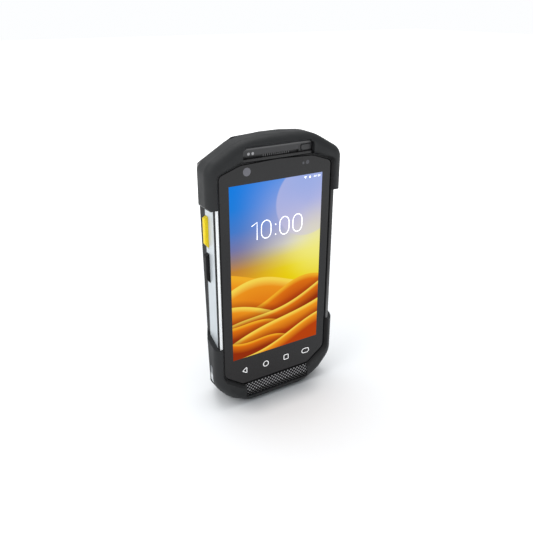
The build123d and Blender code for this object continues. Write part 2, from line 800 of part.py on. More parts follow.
def cavity_keeps():
    """Solid regions left standing inside the housing's cavity."""
    keeps = [
        block(-WIDTH, WIDTH, BAY_Y - BAY_FLOOR_T, HOUSE_Y, BAY_LOW - STRAP_WALL, BAY_TOP + STRAP_WALL)
    ]
    for z in (STRAP_LOW_Z, STRAP_HIGH_Z):
        half_w = STRAP_SLOT_W / 2 + STRAP_BAR_GRIP + STRAP_WALL
        half_h = STRAP_SLOT_H / 2 + STRAP_WALL
        front = HOUSE_Y - STRAP_SLOT_DEPTH - STRAP_WALL
        keeps.append(block(-half_w, half_w, front, HOUSE_Y, z - half_h, z + half_h))
    for x, z in case_screw_spots():
        keeps.append(rod_y(x, z, CASE_BOSS_R, SPLIT_Y, HOUSE_Y))
    keeps.append(port_block(STRAP_WALL))
    return keeps


def battery_bay():
    bay = block(-BAY_X, BAY_X, BAY_Y, BACK_Y, BAY_LOW, BAY_TOP)
    slope = battery_slope(FIT)
    bay += block(-BAY_X, BAY_X, PIVOT_Y, BACK_Y, BAY_LOW - FIT, BAY_TOP) & slope
    for side in (-1, 1):
        reach = side * (BAY_X + LUG_L + FIT)
        wall = side * (BAY_X - THROUGH)
        low_x, high_x = min(reach, wall), max(reach, wall)
        bay += rod_x(PIVOT_Y, PIVOT_Z, LUG_R + RUNNING, low_x, high_x)
        bay += block(
            low_x, high_x, PIVOT_Y, BACK_Y, PIVOT_Z - LUG_R - RUNNING, PIVOT_Z + LUG_R + RUNNING
        )
        bay += scoop(side)
        bay += catch_pocket(side)
    return bay


def slope_touch(reach):
    """Point (y, z) where the sloping face touches a circle about the battery's pivot."""
    swing = math.radians(BATTERY_SWING)
    return PIVOT_Y + reach * math.sin(swing), PIVOT_Z - reach * math.cos(swing)


def battery_slope(gap):
    """Everything above the sloping lower rear face that lets the battery swing."""
    start_y = PIVOT_Y
    touch_y, touch_z = slope_touch(BATTERY_PIVOT_R + gap)
    run = BACK_Y + THROUGH - touch_y
    rise = run * math.tan(math.radians(BATTERY_SWING))
    far = touch_z + rise
    sketch = Polygon(
        (start_y, touch_z - (touch_y - start_y)),
        (touch_y, touch_z),
        (touch_y + run, far),
        (touch_y + run, HEIGHT),
        (start_y, HEIGHT),
        align=None,
    )
    return bar(sketch, -WIDTH, WIDTH)


def scoop(side):
    """Finger notch through the housing's side, beside a battery latch."""
    half = LATCH_H / 2 + SCOOP_MARGIN
    inner = side * (BAY_X - THROUGH)
    outer = side * (CORE_X + THROUGH)
    low_x, high_x = min(inner, outer), max(inner, outer)
    return block(low_x, high_x, SCOOP_Y, BACK_Y, LATCH_Z - half, LATCH_Z + half)


def catch_pocket(side):
    """Groove that the latch's nose faces, with a lip over its outer part."""
    half = NOSE_H / 2 + FIT
    lip = BATTERY_X + NOSE_REACH + NOSE_SHORT
    inner = side * (BAY_X - THROUGH)
    narrow = side * lip
    wide = side * (lip + CATCH_DEPTH)
    low = LATCH_Z - half
    high = LATCH_Z + half
    front = nose_front() - FIT
    mouth = block(min(inner, narrow), max(inner, narrow), front, SCOOP_Y + FIT, low, high)
    under = block(min(inner, wide), max(inner, wide), front, nose_front() + NOSE_T, low, high)
    return mouth + under


def nose_front():
    return BATTERY_FRONT_Y + FIT


def strap_slot(z):
    half_w = STRAP_SLOT_W / 2
    half_h = STRAP_SLOT_H / 2
    return round_block(
        -half_w, half_w, HOUSE_Y - STRAP_SLOT_DEPTH, HOUSE_Y + THROUGH, z - half_h, z + half_h, STRAP_BAR_R
    )


def strap_bar(z, grip):
    half = STRAP_SLOT_W / 2 + grip
    return rod_x(HOUSE_Y - STRAP_BAR_INSET, z, STRAP_BAR_R, -half, half)


def strap_bars():
    return group([strap_bar(z, STRAP_BAR_GRIP) for z in (STRAP_LOW_Z, STRAP_HIGH_Z)])


def port_block(margin):
    half_w = PORT_W / 2 + margin
    half_h = PORT_H / 2 + margin
    return block(
        -half_w, half_w, HOUSE_Y - PORT_DEPTH - margin, HOUSE_Y + THROUGH, PORT_Z - half_h, PORT_Z + half_h
    )


def io_connector():
    body = port_block(0) & block(-WIDTH, WIDTH, 0, HOUSE_Y - TOUCH, 0, HEIGHT)
    for x in port_pad_xs():
        body -= port_pad(x, 0)
    return body


def port_pad_xs():
    return [(index - (PORT_PADS - 1) / 2) * PORT_PITCH for index in range(PORT_PADS)]


def port_pad(x, margin):
    half_w = PAD_W / 2 + margin
    half_h = PORT_H / 2 - THROUGH
    back = HOUSE_Y - TOUCH
    return block(x - half_w, x + half_w, back - PAD_T, back, PORT_Z - half_h, PORT_Z + half_h)


def io_contacts():
    return group([port_pad(x, 0) for x in port_pad_xs()])


def camera_ports():
    ports = rod_y(0, REAR_CAMERA_Z, REAR_CAMERA_R, HOUSE_Y - LENS_T, HOUSE_Y + THROUGH)
    ports += rod_y(0, REAR_CAMERA_Z, REAR_CAMERA_R - REAR_CAMERA_RIM, CAVITY_Y - THROUGH, HOUSE_Y)
    ports += rod_y(FLASH_X, REAR_CAMERA_Z, FLASH_R, HOUSE_Y - LENS_T, HOUSE_Y + THROUGH)
    ports += rod_y(FLASH_X, REAR_CAMERA_Z, FLASH_R - REAR_CAMERA_RIM, CAVITY_Y - THROUGH, HOUSE_Y)
    return ports


def rear_camera_window():
    return rod_y(0, REAR_CAMERA_Z, REAR_CAMERA_R - RUNNING, HOUSE_Y - LENS_T, HOUSE_Y)


def flash_window():
    return rod_y(FLASH_X, REAR_CAMERA_Z, FLASH_R - RUNNING, HOUSE_Y - LENS_T, HOUSE_Y)


def rear_camera_module():
    half = CAMERA_BLOCK / 2
    body = block(-half, half, CAVITY_Y - CAMERA_BLOCK_T, CAVITY_Y, REAR_CAMERA_Z - half, REAR_CAMERA_Z + half)
    snout_r = REAR_CAMERA_R - REAR_CAMERA_RIM - FIT
    return body + rod_y(0, REAR_CAMERA_Z, snout_r, CAVITY_Y, HOUSE_Y - LENS_T)


# ------------------------------------------------------------------ bumpers
def core_body(back_y):
    """Everything that a bumper wraps, from the rail face to its rear edge."""
    body = slab(outline(CORE_OUTLINE), RAIL_Y, back_y + THROUGH)
    return body - beside_hull(HULL_IN, HULL_SPREAD)


def bumper_ring(corners, taper, back_y, hull_in, hull_spread):
    """Bumper form before its ends are cut: rolled front edge, tapered rear, flared window."""
    face = outline(corners)
    ring = slab(face, FRONT_Y, CREASE_Y)
    ring = fillet(front_edges(ring), ROLL)
    backward = Plane(origin=(0, CREASE_Y, 0), x_dir=(-1, 0, 0), z_dir=(0, 1, 0))
    ring += extrude(backward * face, amount=back_y - CREASE_Y, taper=taper)
    ring -= beside_hull(hull_in, hull_spread)
    window = grown(GLASS_OUTLINE, WINDOW_GAP)
    ring -= slab(window, FRONT_Y - THROUGH, SEAT_Y)
    ring -= extrude(
        Plane.XZ.offset(-GLASS_Y) * window, amount=GLASS_INSET + THROUGH, taper=-WINDOW_FLARE
    )
    ring -= core_body(back_y)
    return ring


def bumper_end(points, up):
    """Region beyond a bumper's free end, from its (y, z) edge line."""
    far = HEIGHT * (1 if up else -1)
    first_y = points[0][0]
    last_y = points[-1][0]
    return bar(Polygon(*points, (last_y, far), (first_y, far), align=None), -WIDTH, WIDTH)


def top_bumper():
    ring = bumper_ring(CROWN_OUTLINE, CROWN_TAPER, CROWN_BACK_Y, CROWN_HULL_IN, CROWN_HULL_SPREAD)
    edge = [
        (FRONT_Y - THROUGH, CROWN_END_FRONT_Z + END_SLANT),
        (RAIL_Y, CROWN_END_FRONT_Z - END_SLANT),
        (GLASS_Y + END_STEP_Y, CROWN_END_Z + END_STEP),
        (CREASE_Y, CROWN_END_Z),
        (CROWN_BACK_Y + THROUGH, CROWN_END_Z + CROWN_END_RISE),
    ]
    ring -= bumper_end(edge, up=False)
    ring -= arm_corners()
    ring -= brow_cut()
    ring -= block(
        -SCAN_BLOCK_X - FIT, SCAN_BLOCK_X + FIT, SCAN_FACE_Y, CROWN_BACK_Y + THROUGH, 0, HEIGHT + THROUGH
    )
    return ring


def arm_corners():
    """Outer lower corners of the top bumper's two arms, cut off at a slant."""
    corner = Polygon(
        (CROWN_X - ARM_CORNER, CROWN_END_Z),
        (CROWN_X - ARM_CORNER, CROWN_END_Z - THROUGH),
        (CROWN_X + THROUGH, CROWN_END_Z - THROUGH),
        (CROWN_X + THROUGH, CROWN_END_Z + ARM_CORNER + THROUGH),
        align=None,
    )
    right = slab(corner, FRONT_Y - THROUGH, CROWN_BACK_Y + THROUGH)
    return right + mirror(right, Plane.YZ)


def brow_cut():
    """Opening for the earpiece trim, with a slanted upper edge."""
    low = TRIM_LOW - WINDOW_GAP - THROUGH
    high = TRIM_TOP + FIT
    straight = round_block(
        -TRIM_X - FIT, TRIM_X + FIT, FRONT_Y - THROUGH, SEAT_Y, low, high, TRIM_CORNER
    )
    brow = Polygon(
        (RAIL_Y, high - BROW),
        (RAIL_Y, high),
        (FRONT_Y - THROUGH, high + BROW + THROUGH),
        (FRONT_Y - THROUGH, high - BROW),
        align=None,
    )
    return straight + bar(brow, -TRIM_X + TRIM_CORNER, TRIM_X - TRIM_CORNER)


def bottom_bumper():
    ring = bumper_ring(FOOT_OUTLINE, FOOT_TAPER, FOOT_BACK_Y, FOOT_HULL_IN, FOOT_HULL_SPREAD)
    edge = [
        (FRONT_Y - THROUGH, FOOT_END_FRONT_Z - END_SLANT),
        (RAIL_Y, FOOT_END_FRONT_Z + END_SLANT),
        (SPLIT_Y, FOOT_END_BACK_Z - END_SLANT),
        (SPLIT_Y + FOOT_TIP_Y, FOOT_END_BACK_Z),
        (FOOT_BACK_Y + THROUGH, FOOT_END_BACK_Z),
    ]
    ring -= bumper_end(edge, up=True)
    ring -= speaker_seat(FIT)
    for side in (-1, 1):
        ring -= side_contact(side, RUNNING, THROUGH)
    return ring


def speaker_seat(gap):
    sketch = Polygon(
        (RAIL_Y, SPEAKER_LOW - gap),
        (RAIL_Y, GLASS_LOW),
        (FRONT_Y - THROUGH, GLASS_LOW),
        (FRONT_Y - THROUGH, SPEAKER_LOW - gap),
        align=None,
    )
    return bar(sketch, -SPEAKER_X - gap, SPEAKER_X + gap)


def speaker_grille():
    """Strip under the glass, leaning forward to its lower edge."""
    sketch = Polygon(
        (RAIL_Y, SPEAKER_LOW),
        (RAIL_Y, SPEAKER_TOP),
        (RAIL_Y - FIT, SPEAKER_TOP),
        (FRONT_Y + FIT, SPEAKER_BULGE_Z),
        (FRONT_Y + TOUCH, SPEAKER_BULGE_Z - THROUGH / 2),
        (FRONT_Y + SPEAKER_TUCK, SPEAKER_LOW),
        align=None,
    )
    grille = bar(sketch, -SPEAKER_X, SPEAKER_X)
    for slot in speaker_slots(RAIL_Y - THROUGH / 2, RAIL_Y + THROUGH):
        grille -= slot
    return grille


def side_contact(side, margin, proud):
    """Curved strip let into the bottom bumper's side, following its outline."""
    width = SIDE_CONTACT_W + 2 * margin
    height = SIDE_CONTACT_H + 2 * margin
    slot = Pos(SIDE_CONTACT_Y, SIDE_CONTACT_Z) * SlotOverall(height, width, rotation=90)
    front = SIDE_CONTACT_Y - SIDE_CONTACT_W
    back = SIDE_CONTACT_Y + SIDE_CONTACT_W
    skin = slab(grown(FOOT_OUTLINE, proud), front, back)
    skin -= slab(grown(FOOT_OUTLINE, -SIDE_CONTACT_SUNK - SIDE_CONTACT_T), front, back)
    edges = (0, side * WIDTH)
    return skin & bar(slot, min(edges), max(edges))


def side_contacts():
    return group([side_contact(side, 0, -SIDE_CONTACT_SUNK) for side in (-1, 1)])


# ------------------------------------------------------------------ earpiece trim and its pieces
def trim_profile():
    return Polygon(
        (RAIL_Y, TRIM_LOW),
        (RAIL_Y, TRIM_LOW + LIP_H),
        (GROOVE_Y, TRIM_LOW + LIP_H),
        (GROOVE_Y, TRIM_LOW + LIP_H + GROOVE_H),
        (SLOPE_LOW_Y, TRIM_LOW + LIP_H + GROOVE_H),
        (SLOPE_TOP_Y, TRIM_TOP),
        (TRIM_BACK_Y, TRIM_TOP),
        (TRIM_BACK_Y, TRIM_LOW),
        align=None,
    )


def trim_button_profile():
    """The trim's section beside the power button, where the groove has ended."""
    return Polygon(
        (RAIL_Y, TRIM_LOW),
        (RAIL_Y, TRIM_LOW + LIP_H),
        (SLOPE_LOW_Y, TRIM_LOW + LIP_H),
        (SLOPE_TOP_Y, TRIM_TOP),
        (TRIM_BACK_Y, TRIM_TOP),
        (TRIM_BACK_Y, TRIM_LOW),
        align=None,
    )


def earpiece_trim():
    trim = bar(trim_profile(), -TRIM_X, TRIM_X) + bar(trim_button_profile(), POWER_PANEL_X, TRIM_X)
    trim &= round_block(
        -TRIM_X, TRIM_X, RAIL_Y - THROUGH, TRIM_BACK_Y + THROUGH, TRIM_LOW, TRIM_TOP, TRIM_CORNER
    )
    trim -= grille_window(0)
    for x in LIGHT_XS:
        trim -= rod_y(x, LIGHT_Z, LIGHT_R, RAIL_Y, TRIM_BACK_Y + THROUGH)
    trim -= power_cap(FIT, RAIL_Y - THROUGH, TRIM_BACK_Y + THROUGH)
    return trim


def grille_window(margin):
    low = TRIM_LOW + LIP_H + TOUCH - margin
    high = TRIM_LOW + LIP_H + GROOVE_H - TOUCH + margin
    return block(-GRILLE_X, GRILLE_X, GROOVE_Y - THROUGH, TRIM_BACK_Y + THROUGH, low, high)


def receiver_grille():
    """Comb of upright ribs on a thin backing."""
    low = TRIM_LOW + LIP_H + TOUCH
    high = TRIM_LOW + LIP_H + GROOVE_H - TOUCH
    rib_front = GROOVE_Y - FIT
    rib_back = GROOVE_Y + THROUGH / 2
    grille = block(-GRILLE_X, GRILLE_X, rib_back, rib_back + FIT, low, high)
    pitch = (2 * GRILLE_X - GRILLE_RIB_W) / (GRILLE_RIBS - 1)
    for index in range(GRILLE_RIBS):
        x = -GRILLE_X + index * pitch
        grille += block(x, x + GRILLE_RIB_W, rib_front, rib_back, low, high)
    return grille


def receiver():
    low = TRIM_LOW + LIP_H + TOUCH
    back = TRIM_BACK_Y
    front = GROOVE_Y + THROUGH / 2 + FIT
    body = block(-GRILLE_X, GRILLE_X, front, back, low, low + GROOVE_H - 2 * TOUCH)
    low_z = TRIM_LOW + TRIM_LEDGE
    high_z = TRIM_TOP - TRIM_LEDGE
    return body + block(-GRILLE_X, GRILLE_X, back, WEB_BACK_Y + THROUGH, low_z, high_z)


def status_light_pipes():
    pipes = [rod_y(x, LIGHT_Z, LIGHT_R, SLOPE_LOW_Y - FIT, WEB_Y) for x in LIGHT_XS]
    return group(pipes)


def power_cap(margin, front, back):
    half_w = POWER_W / 2 + margin
    half_h = POWER_H / 2 + margin
    return round_block(
        POWER_X - half_w,
        POWER_X + half_w,
        front,
        back,
        POWER_Z - half_h,
        POWER_Z + half_h,
        POWER_ROUND,
    )


def power_button():
    front = SLOPE_TOP_Y - POWER_PROUD
    cap = power_cap(0, front, TRIM_BACK_Y + TOUCH)
    cap = fillet(front_edges(cap), FIT)
    half_w = POWER_W / 2 + POWER_FLANGE
    half_h = POWER_H / 2 + POWER_FLANGE / 2
    flange = block(
        POWER_X - half_w,
        POWER_X + half_w,
        TRIM_BACK_Y + TOUCH,
        TRIM_BACK_Y + TOUCH + POWER_FLANGE,
        POWER_Z - half_h,
        POWER_Z + half_h,
    )
    return cap + flange


def power_switch():
    front = TRIM_BACK_Y + TOUCH + POWER_FLANGE + POWER_TRAVEL + TOUCH
    half_w = POWER_W / 2
    half_h = POWER_H / 2
    return block(
        POWER_X - half_w, POWER_X + half_w, front, WEB_BACK_Y + THROUGH, POWER_Z - half_h, POWER_Z + half_h
    )


# ------------------------------------------------------------------ side keys
def key_cap(z, length, outer_x):
    """Left-hand key: sloping ends outside the rail, a flange behind it."""
    rail = CORE_X
    flange_x = POCKET_X - FIT
    half = length / 2
    sketch = Polygon(
        (-flange_x, z - half),
        (-rail, z - half),
        (-outer_x, z - half + KEY_RAMP),
        (-outer_x, z + half - KEY_PROUD / 2),
        (-rail, z + half),
        (-flange_x, z + half),
        align=None,
    )
    cap = slab(sketch, KEY_Y - KEY_W / 2, KEY_Y + KEY_W / 2)
    outer_face = cap.faces().sort_by(Axis.X)[0]
    cap = fillet(outer_face.edges(), KEY_ROUND)
    return cap + block(
        -flange_x,
        KEY_FLANGE_T - flange_x,
        KEY_Y - KEY_W / 2 - KEY_FLANGE,
        KEY_Y + KEY_W / 2 + KEY_FLANGE,
        z - half - KEY_FLANGE,
        z + half + KEY_FLANGE,
    )


def scan_button_left():
    return key_cap(SCAN_Z, SCAN_L, CORE_X + KEY_PROUD)


def scan_button_right():
    return mirror(scan_button_left(), Plane.YZ)


def talk_button():
    return key_cap(TALK_Z, TALK_L, CORE_X + KEY_PROUD)


def volume_rocker():
    half = ROCKER_L / 2
    outer_x = CORE_X + ROCKER_PROUD
    web_x = POCKET_X + FIT
    pin_x = POCKET_X - ROCKER_PIN_INSET
    sketch = Polygon(
        (web_x, ROCKER_Z - half),
        (CORE_X, ROCKER_Z - half),
        (outer_x, ROCKER_Z - half + ROCKER_PROUD),
        (outer_x - KEY_ROUND, ROCKER_Z),
        (outer_x, ROCKER_Z + half - ROCKER_PROUD),
        (CORE_X, ROCKER_Z + half),
        (web_x, ROCKER_Z + half),
        align=None,
    )
    cap = slab(sketch, KEY_Y - KEY_W / 2, KEY_Y + KEY_W / 2)
    stem_h = ROCKER_HUB_R
    foot_x = POCKET_X - ROCKER_BOARD_REACH + DOME_T + ROCKER_THROW
    cap += block(
        pin_x, web_x, KEY_Y - KEY_W / 2, KEY_Y + KEY_W / 2, ROCKER_Z - stem_h, ROCKER_Z + stem_h
    )
    cap += rod_y(pin_x, ROCKER_Z, stem_h, KEY_Y - KEY_W / 2, KEY_Y + KEY_W / 2)
    for side in (-1, 1):
        foot_z = ROCKER_Z + side * (half - EAR_H)
        cap += block(
            foot_x, web_x, KEY_Y - KEY_W / 4, KEY_Y + KEY_W / 4, foot_z - KEY_ROUND, foot_z + KEY_ROUND
        )
    cap -= rocker_axle(ROCKER_PIN_R + RUNNING)
    return cap


def rocker_pin():
    return rocker_axle(ROCKER_PIN_R)


def key_board(side, low, high, domes, reach):
    """Upright switch board with domes that the keys press."""
    face = side * (POCKET_X - reach)
    back = face - side * KEY_BOARD_T
    board = block(
        min(face, back), max(face, back), KEY_Y - KEY_W / 2, KEY_Y + KEY_W / 2, low, high
    )
    for z in domes:
        tip = face + side * DOME_T
        board += rod_x(KEY_Y, z, DOME_R, min(face, tip), max(face, tip))
    return board


def key_boards():
    reach = FIT + KEY_FLANGE_T + KEY_TRAVEL + DOME_T + TOUCH
    left = key_board(-1, TALK_Z - TALK_L / 2, SCAN_Z + SCAN_L / 2, (TALK_Z, SCAN_Z), reach)
    right = key_board(1, SCAN_Z - SCAN_L / 2, SCAN_Z + SCAN_L / 2, (SCAN_Z,), reach)
    tip_z = ROCKER_L / 2 - EAR_H
    rocker = key_board(
        1,
        ROCKER_Z - ROCKER_L / 2,
        ROCKER_Z + ROCKER_L / 2,
        (ROCKER_Z - tip_z, ROCKER_Z + tip_z),
        ROCKER_BOARD_REACH,
    )
    return group([left, right, rocker])


# ------------------------------------------------------------------ sound
def speaker_module():
    low = CORE_LOW + RAIL_WALL + FIT
    high = SPEAKER_TOP + EAR_H
    return block(
        -SPEAKER_BOX_X, SPEAKER_BOX_X, WEB_BACK_Y, WEB_BACK_Y + SPEAKER_BOX_T, low, high
    )


# ------------------------------------------------------------------ scanning
def scan_window():
    glass = Pos(0, 0, -SCAN_WINDOW_T / 2) * Box(SCAN_WINDOW_W, SCAN_WINDOW_H, SCAN_WINDOW_T)
    return scan_plane() * glass


def scan_engine():
    body = Pos(0, 0, -ENGINE_DEPTH) * Box(ENGINE_W, ENGINE_H, ENGINE_L)
    eye = Pos(ENGINE_W / 4, 0, -ENGINE_DEPTH + ENGINE_L / 2) * Cylinder(ENGINE_H / 4, 2 * FIT)
    return scan_plane() * (body + eye)


def scan_bracket():
    """Tray behind the engine with a foot on the frame's web and a cheek each side."""
    half_w = ENGINE_W / 2 + TOUCH + BRACKET_T
    half_l = ENGINE_L / 2
    foot = block(
        -half_w, half_w, WEB_BACK_Y, WEB_BACK_Y + BRACKET_T, BRACKET_LOW, BRACKET_LOW + ENGINE_H / 2
    )
    cheek = Box(BRACKET_T, ENGINE_H, ENGINE_L)
    for side in (-1, 1):
        x = side * (ENGINE_W / 2 + TOUCH + BRACKET_T / 2)
        placed = scan_plane() * Pos(x, 0, -ENGINE_DEPTH) * cheek
        foot += placed
        foot += block(
            x - BRACKET_T / 2,
            x + BRACKET_T / 2,
            WEB_BACK_Y,
            WEB_BACK_Y + half_l + BRACKET_T,
            BRACKET_LOW,
            BRACKET_LOW + ENGINE_H,
        )
    return foot


# ------------------------------------------------------------------ battery pack
def battery_envelope():
    """Outer form of the whole pack."""
    touch_y, touch_z = slope_touch(BATTERY_PIVOT_R)
    sketch = Polygon(
        (BATTERY_FRONT_Y, PIVOT_Z),
        (touch_y, PIVOT_Z),
        (touch_y, touch_z),
        (BACK_Y, touch_z),
        (BACK_Y, BAY_TOP - PARTING),
        (BATTERY_FRONT_Y, BAY_TOP - PARTING),
        align=None,
    )
    pack = bar(sketch, -BATTERY_X, BATTERY_X)
    pack &= battery_slope(0) + block(-WIDTH, WIDTH, FRONT_Y, PIVOT_Y, 0, HEIGHT)
    pack += rod_x(PIVOT_Y, PIVOT_Z, BATTERY_PIVOT_R, -BATTERY_X, BATTERY_X)
    rims = back_edges(pack)
    return fillet(rims, BATTERY_COVER_T - FIT)


def battery_case():
    case = battery_envelope() & block(-WIDTH, WIDTH, FRONT_Y, COVER_Y, 0, HEIGHT)
    case -= cell_room()
    for side in (-1, 1):
        case -= latch_room(side)
        tip = side * (BATTERY_X + LUG_L)
        root = side * (BATTERY_X - FIT)
        case += rod_x(PIVOT_Y, PIVOT_Z, LUG_R, min(tip, root), max(tip, root))
    for pad in battery_pads():
        case -= pad
    return case


def cell_room():
    low = PIVOT_Z + BATTERY_PIVOT_R + CASE_WALL
    half = BATTERY_X - LATCH_POCKET - CASE_WALL
    return block(
        -half, half, BATTERY_FRONT_Y + CASE_WALL, COVER_Y + THROUGH, low, BAY_TOP - PARTING - CASE_WALL
    )


def latch_room(side):
    half = LATCH_H / 2 + FIT
    inner = side * (BATTERY_X - LATCH_POCKET)
    outer = side * (BATTERY_X + THROUGH)
    nose_half = NOSE_H / 2 + FIT
    low_x, high_x = min(inner, outer), max(inner, outer)
    front = LATCH_FRONT_Y - FIT
    back = LATCH_FRONT_Y + LATCH_D + FIT
    room = block(low_x, high_x, front, back, LATCH_Z - half, LATCH_Z + half)
    neck_low = LATCH_Z - nose_half
    neck_high = LATCH_Z + nose_half
    neck = block(low_x, high_x, BATTERY_FRONT_Y - THROUGH, LATCH_FRONT_Y, neck_low, neck_high)
    return room + neck


def battery_cover():
    return battery_envelope() & block(-WIDTH, WIDTH, COVER_Y, BACK_Y + THROUGH, 0, HEIGHT)


def battery_cell():
    low = PIVOT_Z + BATTERY_PIVOT_R + CASE_WALL + FIT
    half = BATTERY_X - LATCH_POCKET - CASE_WALL - FIT
    front = BATTERY_FRONT_Y + CASE_WALL
    high = BAY_TOP - PARTING - CASE_WALL - FIT
    cell = block(-half, half, front, COVER_Y - FIT, low + CONTACT_BLOCK_H, high)
    return cell


def battery_board():
    low = PIVOT_Z + BATTERY_PIVOT_R + CASE_WALL + FIT
    half = BATTERY_X - LATCH_POCKET - CASE_WALL - FIT
    front = BATTERY_FRONT_Y + CASE_WALL
    board = block(-half, half, front, front + BOARD_T, low, low + CONTACT_BLOCK_H - FIT)
    for pad in battery_pads():
        board += pad
    return board


def contact_xs():
    return [CONTACT_X + (i - (CONTACT_COUNT - 1) / 2) * CONTACT_PITCH for i in range(CONTACT_COUNT)]


def battery_pads():
    """Contact pads through the case's front wall."""
    half = PAD_W / 2
    return [
        block(
            x - half,
            x + half,
            BATTERY_FRONT_Y,
            BATTERY_FRONT_Y + CASE_WALL,
            CONTACT_Z - PAD_W,
            CONTACT_Z + PAD_W,
        )
        for x in contact_xs()
    ]


def contact_cut():
    half_w = CONTACT_COUNT * CONTACT_PITCH / 2 + FIT
    half_h = CONTACT_BLOCK_H / 2 + FIT
    return block(
        CONTACT_X - half_w,
        CONTACT_X + half_w,
        SPLIT_Y,
        BAY_Y + FIT,
        CONTACT_Z - half_h,
        CONTACT_Z + half_h,
    )


def battery_contacts():
    """Contact block on the main board, its blades just short of the battery's pads."""
    half_w = CONTACT_COUNT * CONTACT_PITCH / 2
    half_h = CONTACT_BLOCK_H / 2
    body = block(
        CONTACT_X - half_w,
        CONTACT_X + half_w,
        BOARD_BACK_Y,
        BAY_Y - TOUCH,
        CONTACT_Z - half_h,
        CONTACT_Z + half_h,
    )
    for x in contact_xs():
        half = PAD_W / 2
        tip = BATTERY_FRONT_Y - TOUCH
        body += block(x - half, x + half, BAY_Y - FIT, tip, CONTACT_Z - PAD_W, CONTACT_Z + PAD_W)
    return body


def battery_latch(side):
    """Thumb slide in the pack's side, with a nose in front of the housing's catch."""
    inner = BATTERY_X - LATCH_POCKET + LATCH_TRAVEL + FIT
    outer = BATTERY_X + LATCH_GRIP
    half = LATCH_H / 2
    back = LATCH_FRONT_Y + LATCH_D
    slide = block(inner, outer, LATCH_FRONT_Y, back, LATCH_Z - half, LATCH_Z + half)
    for index in (-1, 0, 1):
        z = LATCH_Z + index * LATCH_H / 3
        slide += block(
            outer - FIT,
            outer + LATCH_GRIP,
            LATCH_FRONT_Y + THROUGH,
            back - THROUGH,
            z - LATCH_GRIP,
            z + LATCH_GRIP,
        )
    nose_half = NOSE_H / 2
    front = nose_front()
    slide += block(
        inner, BATTERY_X + NOSE_REACH, front, front + NOSE_T - FIT, LATCH_Z - nose_half, LATCH_Z + nose_half
    )
    slide += block(
        inner, inner + NOSE_T, front, LATCH_FRONT_Y + FIT, LATCH_Z - nose_half, LATCH_Z + nose_half
    )
    if side < 0:
        return mirror(slide, Plane.YZ)
    return slide


def battery_latch_left():
    return battery_latch(-1)


def battery_latch_right():
    return battery_latch(1)


# ------------------------------------------------------------------ card door
def card_door_cut():
    """Rebate for the door, with the way through to the card socket and room for the hinge."""
    half = DOOR_W / 2 + FIT
    top = DOOR_PIVOT_Z + DOOR_H + FIT
    rebate = block(
        DOOR_X - half, DOOR_X + half, BAY_Y - DOOR_T - FIT, BAY_Y + FIT, DOOR_PIVOT_Z, top
    )
    way = block(
        DOOR_X - half + DOOR_LEDGE,
        DOOR_X + half - DOOR_LEDGE,
        SPLIT_Y,
        BAY_Y,
        DOOR_PIVOT_Z,
        top - DOOR_LEDGE,
    )
    trough = DOOR_BARREL_R + FIT
    hinge = block(
        DOOR_X - half, DOOR_X + half, SPLIT_Y, BAY_Y + FIT, DOOR_PIVOT_Z - trough, DOOR_PIVOT_Z + trough
    )
    grip = door_pin_rod(DOOR_PIN_R + TOUCH / 4)
    return rebate + way + hinge + grip


def door_pin_rod(radius):
    half = DOOR_W / 2 + DOOR_LEDGE + FIT
    return rod_x(DOOR_PIVOT_Y, DOOR_PIVOT_Z, radius, DOOR_X - half, DOOR_X + half)


def card_door():
    half = DOOR_W / 2
    top = DOOR_PIVOT_Z + DOOR_H
    door = block(DOOR_X - half, DOOR_X + half, BAY_Y - DOOR_T, BAY_Y, DOOR_PIVOT_Z, top)
    for side in (-1, 1):
        outer = DOOR_X + side * half
        inner = outer - side * DOOR_LUG_W
        door += rod_x(
            DOOR_PIVOT_Y, DOOR_PIVOT_Z, DOOR_BARREL_R, min(outer, inner), max(outer, inner)
        )
    middle = half - DOOR_LUG_W
    door -= block(
        DOOR_X - middle,
        DOOR_X + middle,
        SPLIT_Y,
        BACK_Y,
        DOOR_PIVOT_Z - THROUGH,
        DOOR_PIVOT_Z + DOOR_BARREL_R,
    )
    nick = DOOR_LUG_W / 2
    door -= block(DOOR_X - nick, DOOR_X + nick, BAY_Y - DOOR_T / 2, BACK_Y, top - THROUGH, top + THROUGH)
    door -= door_pin_rod(DOOR_PIN_R + RUNNING)
    return door


def card_door_pin():
    return door_pin_rod(DOOR_PIN_R)


def card_socket():
    """Tray on the main board, open at its top and towards the door."""
    half = CARD_W / 2 + SOCKET_WALL
    low = DOOR_PIVOT_Z + DOOR_BARREL_R + THROUGH
    high = low + CARD_H - THROUGH
    body = block(DOOR_X - half, DOOR_X + half, BOARD_BACK_Y, BOARD_BACK_Y + SOCKET_T, low, high)
    return body - block(
        DOOR_X - CARD_W / 2,
        DOOR_X + CARD_W / 2,
        BOARD_BACK_Y + SOCKET_WALL,
        BOARD_BACK_Y + SOCKET_T + THROUGH,
        low + THROUGH,
        high + THROUGH,
    )


def memory_card():
    low = DOOR_PIVOT_Z + DOOR_BARREL_R + 2 * THROUGH
    front = BOARD_BACK_Y + SOCKET_WALL
    half = CARD_W / 2 - TOUCH
    card = block(DOOR_X - half, DOOR_X + half, front, front + CARD_T, low, low + CARD_H)
    return card


# ------------------------------------------------------------------ inside
def main_board():
    board = block(-BOARD_X, BOARD_X, BOARD_Y, BOARD_BACK_Y, BOARD_LOW, BOARD_TOP)
    for x, z in board_screw_spots():
        board -= rod_y(x, z, BOARD_SCREW_R + FIT, BOARD_Y - THROUGH, BOARD_BACK_Y + THROUGH)
    socket_front = (GLASS_BACK_Y + PANEL_BACK_Y) / 2 + FLEX_REACH + FLEX_T
    board += block(
        -FLEX_W / 2, FLEX_W / 2, socket_front, BOARD_BACK_Y, FLEX_Z, FLEX_Z + FLEX_TAB
    )
    return board


